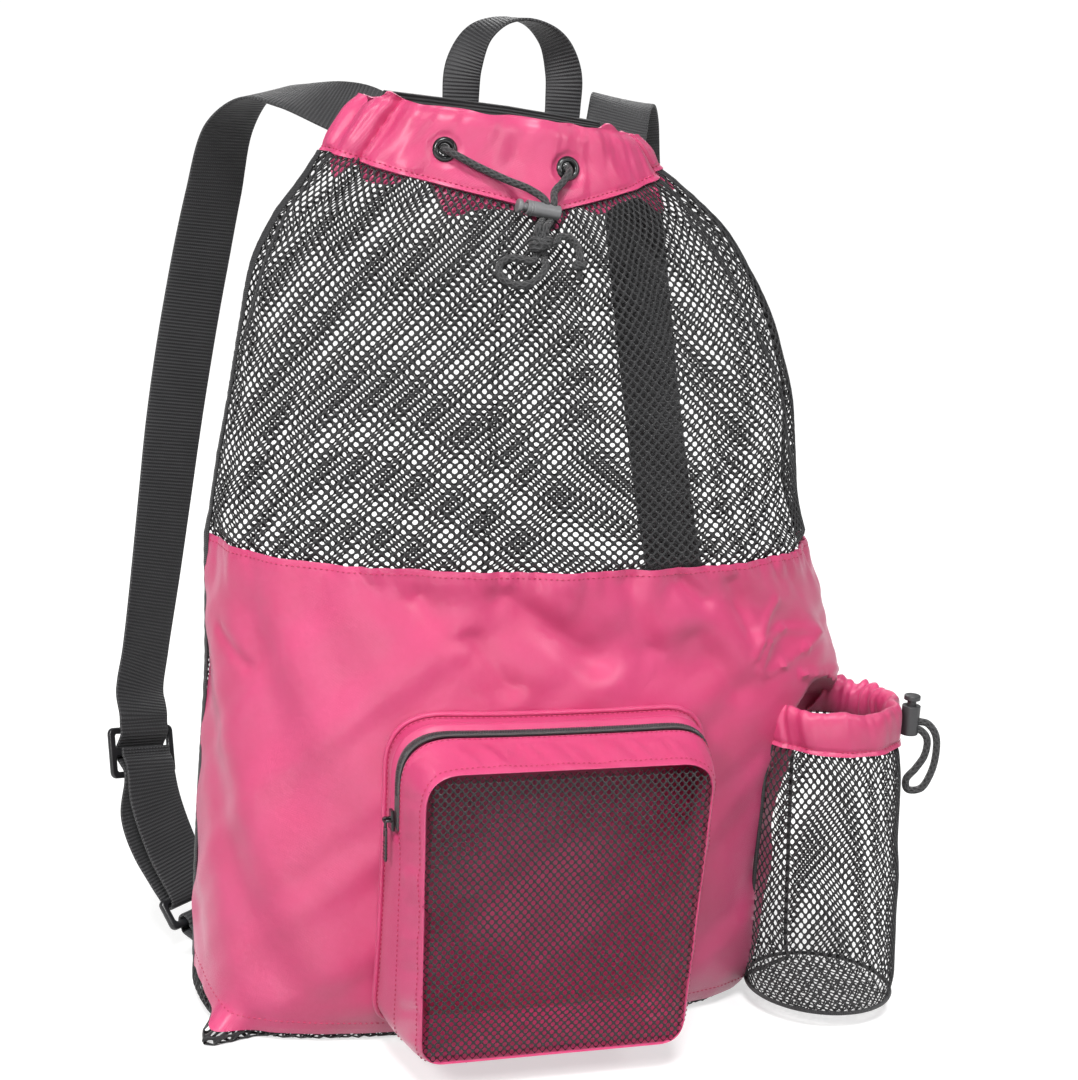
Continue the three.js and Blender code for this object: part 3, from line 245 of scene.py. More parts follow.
@dataclass(frozen=True)
class Axes:
    """A place with three directions of its own."""

    origin: Array
    x: Array
    y: Array
    z: Array

    def place(self, points: Array) -> Array:
        """Carry local points to the bag's frame."""
        return self.origin + points @ np.array([self.x, self.y, self.z])

    def spot(self, x: float, y: float, z: float) -> Array:
        """Carry one local point to the bag's frame."""
        return self.origin + self.x * x + self.y * y + self.z * z

    def shifted(self, x: float, y: float, z: float) -> "Axes":
        """Give the same directions at another local point."""
        return Axes(self.spot(x, y, z), self.x, self.y, self.z)

    def matrix(self) -> Matrix:
        """Give the frame as a matrix in metres."""
        columns = np.column_stack([self.x, self.y, self.z, self.origin * MM])
        return Matrix([*columns.tolist(), [0, 0, 0, 1]])


def axes_along(origin: Array, way: Array) -> Axes:
    """Make axes whose third direction is given.

    Args:
        origin: Place of the axes.
        way: Third direction.

    Returns:
        The axes.
    """
    z = unit(np.asarray(way, float))
    helper = X_WAY if abs(z[0]) < 0.9 else Y_WAY
    x = unit(np.cross(helper, z))
    return Axes(np.asarray(origin, float), x, np.cross(z, x), z)


# Meshes


def linked(name: str, data: bpy.types.ID) -> Piece:
    """Make an object and link it to the scene."""
    made = bpy.data.objects.new(name, data)
    bpy.context.scene.collection.objects.link(made)
    return made


@dataclass
class Surface:
    """Points, faces and texture places of one mesh, in millimetres."""

    points: Array
    faces: list[Array]
    cloth: Array
    bake: Array | None = None

    def moved(self, axes: Axes) -> "Surface":
        """Carry the mesh into a frame."""
        return Surface(axes.place(self.points), self.faces, self.cloth, self.bake)

    def build(self, name: str, sharp: float = CLOTH_EDGE) -> Piece:
        """Make a Blender object.

        Args:
            name: Object's name.
            sharp: Angle in degrees above which an edge isn't smoothed.

        Returns:
            The object, linked to the scene.
        """
        used = np.unique(np.concatenate([group.ravel() for group in self.faces]))
        order = np.full(len(self.points), -1)
        order[used] = np.arange(len(used))
        loops = order[np.concatenate([group.ravel() for group in self.faces])]
        sizes = np.concatenate([np.full(len(group), group.shape[1]) for group in self.faces])
        starts = np.concatenate([[0], np.cumsum(sizes)[:-1]])
        mesh = bpy.data.meshes.new(name)
        mesh.vertices.add(len(used))
        mesh.vertices.foreach_set("co", (self.points[used] * MM).astype(np.float32).ravel())
        mesh.loops.add(len(loops))
        mesh.loops.foreach_set("vertex_index", loops.astype(np.int32))
        mesh.polygons.add(len(sizes))
        mesh.polygons.foreach_set("loop_start", starts.astype(np.int32))
        mesh.polygons.foreach_set("use_smooth", np.ones(len(sizes), bool))
        mesh.update(calc_edges=True)
        mesh.uv_layers.new(name=CLOTH_MAP).data.foreach_set("uv", self.cloth.astype(np.float32).ravel())
        if self.bake is not None:
            mesh.uv_layers.new(name=BAKE_MAP).data.foreach_set("uv", self.bake.astype(np.float32).ravel())
        mesh.set_sharp_from_angle(angle=math.radians(sharp))
        return linked(name, mesh)


def joined(parts: Sequence[Surface]) -> Surface:
    """Put several meshes into one.

    Args:
        parts: The meshes.

    Returns:
        One mesh without bake places.
    """
    faces: list[Array] = []
    begin = 0
    for part in parts:
        faces.extend(group + begin for group in part.faces)
        begin += len(part.points)
    points = np.vstack([part.points for part in parts])
    return Surface(points, faces, np.vstack([part.cloth for part in parts]))


def facing(points: Array) -> Array:
    """Give the normals of a grid of points, along du x dv."""
    du = np.gradient(points, axis=0)
    dv = np.gradient(points, axis=1)
    return unit(np.cross(du, dv))


def cells(grid: Array) -> Array:
    """Give the middle of each cell of a grid of points."""
    return (grid[:-1, :-1] + grid[1:, :-1] + grid[1:, 1:] + grid[:-1, 1:]) / 4


def quads_of(columns: int, rows: int) -> Array:
    """Give the four corners of each cell of a grid."""
    ids = np.arange(columns * rows).reshape(columns, rows)
    return np.stack([ids[:-1, :-1], ids[1:, :-1], ids[1:, 1:], ids[:-1, 1:]], -1).reshape(-1, 4)


def grid_area(grid: Array, gone: Array | float = 0.0) -> float:
    """Measure a grid of points in square metres, without the cells that are gone."""
    across, along = grid[1:, :-1] - grid[:-1, :-1], grid[:-1, 1:] - grid[:-1, :-1]
    sizes = np.linalg.norm(np.cross(across, along), axis=-1) * (1.0 - gone)
    return float(sizes.sum()) * MM * MM


def shell(outer: Array, thick: Array | float, gone: Array | None = None) -> Surface:
    """Make a closed sheet of cloth from a grid of points on its outer face.

    Args:
        outer: Grid of points, (columns, rows, 3).
        thick: Thickness, one number or a grid.
        gone: Cells that are left open, (columns - 1, rows - 1).

    Returns:
        The closed sheet, with its two faces side by side in the bake places.
    """
    columns, rows = outer.shape[:2]
    count = columns * rows
    depth = np.broadcast_to(np.asarray(thick, float), (columns, rows))[..., None]
    inner = outer - facing(outer) * depth
    front = quads_of(columns, rows)
    if gone is not None:
        front = front[~gone.ravel()]
    begin, end = front.ravel(), np.roll(front, -1, axis=1).ravel()
    open_edge = ~np.isin(begin * count + end, end * count + begin)
    begin, end = begin[open_edge], end[open_edge]
    rim = np.stack([end, begin, begin + count, end + count], -1)
    faces = [front, front[:, ::-1] + count, rim]
    across = np.linalg.norm(np.diff(outer, axis=0), axis=2).mean(axis=1)
    along = np.linalg.norm(np.diff(outer, axis=1), axis=2).mean(axis=0)
    u = np.concatenate([[0.0], np.cumsum(across)])
    v = np.concatenate([[0.0], np.cumsum(along)])
    flat = np.stack(np.meshgrid(u, v, indexing="ij"), -1).reshape(-1, 2)
    share = flat / flat.max(axis=0)
    loops = np.concatenate([group.ravel() for group in faces])
    bake = share[loops % count] * (FACE_WIDE, 1.0)
    bake[front.size : 2 * front.size, 0] += FACE_SHIFT
    points = np.vstack([outer.reshape(-1, 3), inner.reshape(-1, 3)])
    return Surface(points, faces, flat[loops % count] * MM, bake)


def swept(sections: Array, spans: Array, run: Array, capped: bool = True) -> Surface:
    """Join closed sections into a solid.

    Args:
        sections: Points, (steps, sides, 3), in order round each section.
        spans: Place of each side round the section, in millimetres.
        run: Place of each section along the solid, in millimetres.
        capped: Whether the two ends are closed.

    Returns:
        The solid.
    """
    steps, sides = sections.shape[:2]
    ids = np.arange(steps * sides).reshape(steps, sides)
    after = np.roll(ids, -1, axis=1)
    quads = np.stack([ids[:-1], after[:-1], after[1:], ids[1:]], -1).reshape(-1, 4)
    end = float(spans[-1] + (spans[-1] - spans[-2]))
    left = np.tile(spans, (steps - 1, 1))
    right = np.tile(np.append(spans[1:], end), (steps - 1, 1))
    low = np.tile(run[:-1, None], (1, sides))
    high = np.tile(run[1:, None], (1, sides))
    places = np.stack([np.stack([left, low], -1), np.stack([right, low], -1)], 2)
    upper = np.stack([np.stack([right, high], -1), np.stack([left, high], -1)], 2)
    cloth = np.concatenate([places, upper], axis=2).reshape(-1, 2)
    faces = [quads]
    if capped:
        faces.append(ids[0][::-1][None, :])
        faces.append(ids[-1][None, :])
        cloth = np.vstack([cloth, np.stack([spans[::-1], np.full(sides, run[0])], -1)])
        cloth = np.vstack([cloth, np.stack([spans, np.full(sides, run[-1])], -1)])
    return Surface(sections.reshape(-1, 3), faces, cloth * MM)


def carried(line: Array) -> tuple[Array, Array, Array]:
    """Carry two directions along a line without twist.

    Args:
        line: Points of the line.

    Returns:
        Tangents and the two directions across, one for each point.
    """
    ahead = unit(np.gradient(line, axis=0))
    side = np.zeros_like(line)
    side[0] = axes_along(line[0], ahead[0]).x
    for i in range(1, len(line)):
        turned = side[i - 1] - ahead[i] * np.dot(side[i - 1], ahead[i])
        side[i] = unit(turned)
    return ahead, side, np.cross(ahead, side)


def tube(line: Array, radius: Array | float, sides: int = 14) -> Surface:
    """Make a round solid along a line, with rounded ends.

    Args:
        line: Points of its middle.
        radius: One radius, or one for each point.
        sides: Number of sides.

    Returns:
        The solid.
    """
    ahead, side, up = carried(line)
    radii = np.broadcast_to(np.asarray(radius, float), (len(line),)).copy()
    turn = np.arange(sides) * TURN / sides
    ring = side[:, None] * np.cos(turn)[None, :, None] + up[:, None] * np.sin(turn)[None, :, None]
    sections = line[:, None] + ring * radii[:, None, None]
    lips = []
    for end, way in ((0, -1.0), (-1, 1.0)):
        for share, out in ((0.85, 0.35), (0.45, 0.6)):
            middle = line[end] + ahead[end] * way * out * radii[end]
            lips.append(middle + ring[end] * radii[end] * share)
    stack = np.concatenate([[lips[1], lips[0]], sections, [lips[2], lips[3]]])
    middles = stack.mean(axis=1)
    run = run_along(middles)
    usual = float(np.median(radii))
    return swept(stack, turn * usual, run)


def turned(profile: Sequence[Sequence[float]], segments: int, axes: Axes) -> Surface:
    """Turn a profile round the third direction of a frame.

    Args:
        profile: Radius and height pairs, from the lower end to the upper one or all the way round.
        segments: Number of sides.
        axes: The frame.

    Returns:
        The turned mesh.
    """
    rows = np.array(profile, float)
    rows[:, 0] = np.maximum(rows[:, 0], 0.02)
    turn = np.arange(segments) * TURN / segments
    ring = np.stack([np.cos(turn), np.sin(turn), np.zeros(segments)], -1)
    points = ring[None] * rows[:, None, :1] + Z_WAY * rows[:, None, 1:]
    run = run_along(rows)
    ring_closed = np.allclose(rows[0], rows[-1])
    spans = turn * float(rows[:, 0].max())
    return swept(points, spans, run, capped=not ring_closed).moved(axes)


def rounded(points: Sequence[Sequence[float]], radii: Sequence[float], steps: int = 5) -> list[Array]:
    """Round the corners of an open profile.

    Args:
        points: Corners of the profile.
        radii: Rounding of each corner.
        steps: Points on each rounding.

    Returns:
        The finer profile.
    """
    corners = np.array(points, float)
    made: list[Array] = [corners[0]]
    for i in range(1, len(corners) - 1):
        before = corners[i - 1] - corners[i]
        after = corners[i + 1] - corners[i]
        reach = min(radii[i], 0.49 * np.linalg.norm(before), 0.49 * np.linalg.norm(after))
        if reach < 0.01:
            made.append(corners[i])
            continue
        a = corners[i] + unit(before) * reach
        b = corners[i] + unit(after) * reach
        for t in np.linspace(0, 1, steps):
            made.append((1 - t) ** 2 * a + 2 * t * (1 - t) * corners[i] + t * t * b)
    made.append(corners[-1])
    return made


def rectangle(left: float, low: float, wide: float, tall: float, corner: float) -> Array:
    """Draw a rectangle with round corners.

    Args:
        left: Its left side.
        low: Its lower side.
        wide: Its width.
        tall: Its height.
        corner: Radius of its corners.

    Returns:
        Points in order round it.
    """
    made = []
    for x, y, start in ((1, 0, -90), (1, 1, 0), (0, 1, 90), (0, 0, 180)):
        middle = np.array([left + corner + x * (wide - 2 * corner), low + corner + y * (tall - 2 * corner)])
        for turn in np.radians(np.linspace(start, start + 90, 7)):
            made.append(middle + corner * np.array([math.cos(turn), math.sin(turn)]))
    return np.array(made)


def plate(name: str, outlines: Sequence[Array], thick: float, bevel: float, axes: Axes) -> Piece:
    """Make a flat moulded piece with rounded edges.

    Args:
        name: Object's name.
        outlines: Outer outline and then the holes, in the plane of the first two directions.
        thick: Thickness.
        bevel: Rounding of the edges.
        axes: Frame of the piece, in its middle.

    Returns:
        The object, linked to the scene.
    """
    curve = bpy.data.curves.new(name, "CURVE")
    curve.dimensions = "2D"
    curve.fill_mode = "BOTH"
    curve.extrude = (thick / 2 - bevel) * MM
    curve.bevel_depth = bevel * MM
    curve.bevel_resolution = 3
    curve.offset = -bevel * MM
    for outline in outlines:
        spline = curve.splines.new("POLY")
        spline.points.add(len(outline) - 1)
        spline.use_cyclic_u = True
        for point, (x, y) in zip(spline.points, outline):
            point.co = (x * MM, y * MM, 0, 1)
    drawn = linked(name + "_drawn", curve)
    seen = drawn.evaluated_get(bpy.context.evaluated_depsgraph_get())
    mesh = bpy.data.meshes.new_from_object(seen)
    mesh.name = name
    bpy.data.objects.remove(drawn)
    bpy.data.curves.remove(curve)
    mesh.transform(axes.matrix())
    for polygon in mesh.polygons:
        polygon.use_smooth = True
    mesh.set_sharp_from_angle(angle=math.radians(MOULDED_EDGE))
    return linked(name, mesh)


def carve(target: Piece, tool: Piece) -> None:
    """Cut one object with another, which is used up.

    Args:
        target: Object that is cut.
        tool: Object that cuts.
    """
    knife = target.modifiers.new("cut", "BOOLEAN")
    knife.operation = "DIFFERENCE"
    knife.solver = "EXACT"
    knife.object = tool
    seen = target.evaluated_get(bpy.context.evaluated_depsgraph_get())
    mesh = bpy.data.meshes.new_from_object(seen)
    target.modifiers.clear()
    target.data = mesh
    bpy.data.objects.remove(tool)
    mesh.set_sharp_from_angle(angle=math.radians(MOULDED_EDGE))


# Shading


def operator(name: str, reflected: bool = False) -> Callable[["Value", Any], "Value"]:
    """Make an operator of values.

    Args:
        name: Operation of the Math node.
        reflected: Whether the other operand comes first.

    Returns:
        The method.
    """

    def apply(value: "Value", other: Any) -> "Value":
        """Add the Math node."""
        pair = (other, value) if reflected else (value, other)
        return value.graph.math(name, *pair)

    return apply


class Value:
    """A number that changes over a surface, for use in Python expressions."""

    __add__, __radd__ = operator("ADD"), operator("ADD", True)
    __sub__, __rsub__ = operator("SUBTRACT"), operator("SUBTRACT", True)
    __mul__, __rmul__ = operator("MULTIPLY"), operator("MULTIPLY", True)
    __truediv__, __rtruediv__ = operator("DIVIDE"), operator("DIVIDE", True)

    def __init__(self, graph: "Graph", socket: Socket) -> None:
        """Wrap a socket of a graph."""
        self.graph = graph
        self.socket = socket


class Graph:
    """The node tree of one material."""

    def __init__(self, name: str) -> None:
        """Start an empty material."""
        self.material = bpy.data.materials.new(name)
        self.material.use_nodes = True
        self.tree = self.material.node_tree
        self.tree.nodes.clear()

    def feed(self, socket: Socket, value: Any) -> None:
        """Link a value to a socket, or set the socket's own value."""
        if isinstance(value, Value):
            self.tree.links.new(value.socket, socket)
        elif isinstance(value, Socket):
            self.tree.links.new(value, socket)
        else:
            socket.default_value = value

    def node(self, kind: str, settings: dict[str, Any], inputs: dict[Any, Any]) -> bpy.types.Node:
        """Add a node.

        Args:
            kind: Node's type.
            settings: Its properties, which are set first.
            inputs: Values or links of its sockets, by name or number.

        Returns:
            The node.
        """
        made = self.tree.nodes.new(kind)
        for key, setting in settings.items():
            setattr(made, key, setting)
        for key, value in inputs.items():
            self.feed(made.inputs[key], value)
        return made

    def math(self, operation: str, *values: Any) -> Value:
        """Add a Math node."""
        made = self.node("ShaderNodeMath", {"operation": operation}, dict(enumerate(values)))
        return Value(self, made.outputs[0])

    def wave(self, place: Any) -> Value:
        """Give a sine whose period is one."""
        return self.math("SINE", place * TURN)

    def clamped(self, value: Any) -> Value:
        """Keep a value from 0 to 1."""
        return self.math("MINIMUM", self.math("MAXIMUM", value, 0.0), 1.0)

    def places(self) -> tuple[Value, Value]:
        """Give the places across and along the cloth, in metres."""
        found = self.node("ShaderNodeUVMap", {"uv_map": CLOTH_MAP}, {})
        parts = self.node("ShaderNodeSeparateXYZ", {}, {0: found.outputs[0]})
        return Value(self, parts.outputs[0]), Value(self, parts.outputs[1])

    def noise(self, scale: float, detail: float = 3.0, rough: float = 0.55) -> Value:
        """Give a noise on the object's own places, from 0 to 1."""
        place = self.node("ShaderNodeTexCoord", {}, {})
        inputs = {"Vector": place.outputs["Object"], "Scale": scale, "Detail": detail, "Roughness": rough}
        made = self.node("ShaderNodeTexNoise", {}, inputs)
        return Value(self, made.outputs[0])

    def blend(self, share: Any, low: Sequence[float], high: Sequence[float]) -> Socket:
        """Mix two colours by a share."""
        inputs = {0: share, 6: (*low, 1.0), 7: (*high, 1.0)}
        return self.node("ShaderNodeMix", {"data_type": "RGBA"}, inputs).outputs[2]

    def relief(self, height: Any, distance: float, strength: float = 1.0) -> Socket:
        """Turn a height into a normal."""
        inputs = {"Height": height, "Distance": distance, "Strength": strength}
        return self.node("ShaderNodeBump", {}, inputs).outputs[0]

    def surface(self, inputs: dict[str, Any]) -> bpy.types.Material:
        """End the graph in a shader.

        Args:
            inputs: Values or links of the shader's sockets.

        Returns:
            The material.
        """
        shader = self.node("ShaderNodeBsdfPrincipled", {}, inputs)
        self.node("ShaderNodeOutputMaterial", {}, {0: shader.outputs[0]})
        return self.material


@dataclass(frozen=True)
class Finish:
    """A finish between a deep and a light colour."""

    name: str
    deep: Place
    light: Place

    def inputs(self, graph: Graph) -> dict[str, Any]:
        """Give the shader's inputs."""
        raise NotImplementedError

    def material(self) -> bpy.types.Material:
        """Make the material."""
        graph = Graph(self.name)
        return graph.surface(self.inputs(graph))


@dataclass(frozen=True)
class Nylon(Finish):
    """Satin woven nylon with a fine weave, crinkles and a soft sheen."""

    weave: float = 0.0008
    crinkle: float = 42.0
    drape: float = 13.0

    def inputs(self, graph: Graph) -> dict[str, Any]:
        """Give the shader's inputs."""
        u, v = graph.places()
        weave = graph.wave(u / self.weave) * graph.wave(v / self.weave)
        fine = graph.noise(self.crinkle, 4.0)
        broad = graph.noise(self.drape, 2.0)
        slub = graph.noise(300.0, 2.0)
        share = graph.clamped(0.55 * broad + 0.3 * fine + 0.15 * slub + 0.05 * weave)
        height = 0.055 * weave + 0.65 * fine + 1.3 * broad
        return {
            "Base Color": graph.blend(share, self.deep, self.light),
            "Roughness": 0.3 + 0.14 * fine,
            "Normal": graph.relief(height, 0.0045, 0.55),
            "Sheen Weight": 0.22,
            "Sheen Roughness": 0.4,
            "Sheen Tint": (1.0, 0.66, 0.8, 1.0),
            "Specular IOR Level": 0.65,
            "Coat Weight": 0.25 + 0.5 * fine,
            "Coat Roughness": 0.36,
        }


@dataclass(frozen=True)
class Yarn(Finish):
    """Knitted polyester net or thread, with lumps of yarn."""

    lump: float = 900.0
    rough: float = 0.62

    def inputs(self, graph: Graph) -> dict[str, Any]:
        """Give the shader's inputs."""
        lumps = graph.noise(self.lump, 2.0)
        broad = graph.noise(30.0, 2.0)
        return {
            "Base Color": graph.blend(0.6 * lumps + 0.4 * broad, self.deep, self.light),
            "Roughness": self.rough + 0.15 * lumps,
            "Normal": graph.relief(lumps, 0.0006, 0.7),
            "Sheen Weight": 0.12,
            "Sheen Roughness": 0.5,
        }


@dataclass(frozen=True)
class Ribbed(Finish):
    """Woven webbing or tape with ribs across it and slanting yarns; the rib and yarn crests are painted
    lighter as a highlight.
    """

    rib: float = 0.0021
    yarn: float = 0.0013
    relief: float = 0.0005

    def inputs(self, graph: Graph) -> dict[str, Any]:
        """Give the shader's inputs."""
        u, v = graph.places()
        rib = 0.5 + 0.5 * graph.wave(v / self.rib)
        yarn = 0.5 + 0.5 * graph.wave(u / self.yarn + v / self.rib * 0.5)
        wear = graph.noise(60.0, 3.0)
        fuzz = graph.noise(1500.0, 2.0)
        height = 0.62 * rib + 0.3 * rib * yarn + 0.12 * fuzz
        # Colour share: rib and yarn crests painted lighter, a painted highlight; wear and fuzz add random
        # tone.
        share = graph.clamped(0.4 * rib + 0.25 * yarn * rib + 0.3 * wear + 0.1 * fuzz - 0.1)
        return {
            "Base Color": graph.blend(share, self.deep, self.light),
            "Roughness": 0.5 + 0.2 * wear,
            "Normal": graph.relief(height, self.relief, 0.9),
            "Sheen Weight": 0.15,
            "Sheen Roughness": 0.45,
        }


@dataclass(frozen=True)
class Braid(Finish):
    """Round braided cord: two families of strands that cross, their crests painted lighter as a highlight."""

    round_it: float = 0.0113
    strands: int = 4
    pitch: float = 0.0046

    def inputs(self, graph: Graph) -> dict[str, Any]:
        """Give the shader's inputs."""
        u, v = graph.places()
        turn = u * (self.strands / self.round_it)
        left = graph.wave(turn + v / self.pitch)
        right = graph.wave(turn - v / self.pitch)
        braid = 0.5 + 0.5 * graph.math("MAXIMUM", left, right)
        fuzz = graph.noise(1800.0, 2.0)
        # Base colour: strand crests painted lighter, a painted highlight; fuzz adds random tone.
        return {
            "Base Color": graph.blend(0.75 * braid + 0.25 * fuzz, self.deep, self.light),
            "Roughness": 0.55 + 0.2 * fuzz,
            "Normal": graph.relief(0.85 * braid + 0.15 * fuzz, 0.0010, 1.0),
            "Sheen Weight": 0.15,
        }


@dataclass(frozen=True)
class Moulded(Finish):
    """Moulded plastic or painted metal with a fine grain and worn gloss."""

    rough: float = 0.34
    metal: float = 0.0
    coat: float = 0.0

    def inputs(self, graph: Graph) -> dict[str, Any]:
        """Give the shader's inputs."""
        grain = graph.noise(1400.0, 3.0)
        wear = graph.noise(120.0, 4.0)
        return {
            "Base Color": graph.blend(0.35 * grain + 0.65 * wear, self.deep, self.light),
            "Roughness": self.rough + 0.12 * wear - 0.04 * grain,
            "Metallic": self.metal,
            "Coat Weight": self.coat,
            "Coat Roughness": 0.15,
            "Normal": graph.relief(0.7 * grain + 0.3 * wear, 0.00012, 0.5),
        }


@dataclass(frozen=True)
class Paper(Finish):
    """Pale studio floor."""

    glow: float = 0.0

    def inputs(self, graph: Graph) -> dict[str, Any]:
        """Give the shader's inputs."""
        grain = graph.noise(6.0, 3.0)
        return {
            "Base Color": graph.blend(grain, self.deep, self.light),
            "Roughness": 0.75 + 0.1 * grain,
            "Emission Color": (*WHITE, 1.0),
            "Emission Strength": self.glow,
        }


class Look(Enum):
    """Every finish of the bag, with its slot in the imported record."""

    PINK = (Nylon("pink_nylon", (0.46, 0.010, 0.082), (0.67, 0.050, 0.205)), Slot.PINK)
    NET = (Yarn("black_net", (0.004, 0.004, 0.005), (0.013, 0.013, 0.015)), Slot.NET)
    # Webbing, tape and cord: their light colours are painted highlights on rib and strand crests.
    WEBBING = (Ribbed("black_webbing", (0.004, 0.004, 0.005), (0.040, 0.040, 0.043)), Slot.WEBBING)
    TAPE = (Ribbed("black_tape", (0.006, 0.006, 0.007), (0.030, 0.030, 0.033), 0.0011, 0.0009), Slot.WEBBING)
    CORD = (Braid("black_braid", (0.003, 0.003, 0.004), (0.040, 0.040, 0.042)), Slot.CORD)
    PLASTIC = (Moulded("black_plastic", (0.006, 0.006, 0.007), (0.018, 0.018, 0.020), 0.3), Slot.PLASTIC)
    LOCK = (Moulded("grey_plastic", (0.024, 0.024, 0.026), (0.055, 0.055, 0.058), 0.34), Slot.LOCK)
    # The drawcord lock: the grey lock plastic made lighter, a painted highlight.
    LOCK_PAINTED_HIGHLIGHT = (Moulded("grey_plastic_painted_highlight", (0.10, 0.10, 0.105), (0.21, 0.21, 0.215), 0.3), Slot.LOCK)
    ENAMEL = (Moulded("black_enamel", (0.010, 0.010, 0.011), (0.03, 0.03, 0.032), 0.2, 0.55, 0.5), Slot.METAL)
    COIL = (Moulded("zip_coil", (0.02, 0.02, 0.021), (0.075, 0.075, 0.08), 0.38), Slot.WEBBING)
    PINK_THREAD = (Yarn("pink_thread", (0.34, 0.008, 0.055), (0.50, 0.022, 0.10), 1600.0, 0.5), Slot.PINK)
    BLACK_THREAD = (Yarn("black_thread", (0.01, 0.01, 0.011), (0.05, 0.05, 0.054), 1600.0, 0.5), Slot.WEBBING)


@dataclass
class Workshop:
    """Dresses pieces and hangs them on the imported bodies."""

    count: int = 0
    triangles: int = 0

    def __post_init__(self) -> None:
        """Make every material once."""
        self.materials = {look: look.value[0].material() for look in Look}

    def dress(self, piece: Piece, look: Look, nodes: Sequence[str] = (), body: str = BAG) -> Piece:
        """Give a piece its finish, its body and the solids that it stands for.

        Args:
            piece: The object.
            look: Its finish and slot.
            nodes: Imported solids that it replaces.
            body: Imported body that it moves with.

        Returns:
            The same object.
        """
        piece.data.materials.clear()
        piece.data.materials.append(self.materials[look])
        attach(piece, body)
        if nodes:
            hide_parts(*nodes)
        faces = sum(len(polygon.vertices) - 2 for polygon in piece.data.polygons)
        self.count += 1
        self.triangles += faces
        log.info("%s: %d triangles on %s", piece.name, faces, body)
        return piece


# Sewing


@dataclass
class Thread:
    """Rows of stitches that lie on the cloth."""

    pitch: float = 3.2
    share: float = 0.66
    wide: float = 0.9
    tall: float = 0.55
    sunk: float = 0.1

    def row(self, line: Array, out: Array) -> Surface:
        """Lay one row of stitches.

        Args:
            line: Points on the cloth.
            out: Direction off the cloth at each point.

        Returns:
            The stitches.
        """
        run = run_along(line)
        middles = np.arange(self.pitch / 2, run[-1], self.pitch)
        reach = self.pitch * self.share / 2

        def read(table: Array, place: Array) -> Array:
            """Read a table of vectors along the row."""
            return np.stack([np.interp(place, run, table[:, k]) for k in range(3)], -1)

        face = unit(read(out, middles))
        first = read(line, middles - reach)
        last = read(line, middles + reach)
        ahead = unit(last - first)
        aside = np.cross(face, ahead)
        half = self.wide / 2
        under = face * self.sunk
        rings = []
        for share in (0.3, 0.7):
            middle = mix(first, last, share)
            ring = [middle - aside * half, middle + face * self.tall, middle + aside * half, middle - under]
            rings.append(np.stack(ring, 1))
        points = np.concatenate([(first - under)[:, None], *rings, (last - under)[:, None]], 1)
        base = np.arange(len(middles))[:, None] * 10
        around = ((1, 2), (2, 3), (3, 4), (4, 1))
        tips = [base + np.array([[0, b, a]]) for a, b in around]
        tips += [base + np.array([[9, a + 4, b + 4]]) for a, b in around]
        sides = [base + np.array([[a, b, b + 4, a + 4]]) for a, b in around]
        faces = [np.vstack(tips), np.vstack(sides)]
        loops = np.concatenate([group.ravel() for group in faces])
        flat = points.reshape(-1, 3)
        return Surface(flat, faces, flat[loops][:, [0, 2]] * MM)


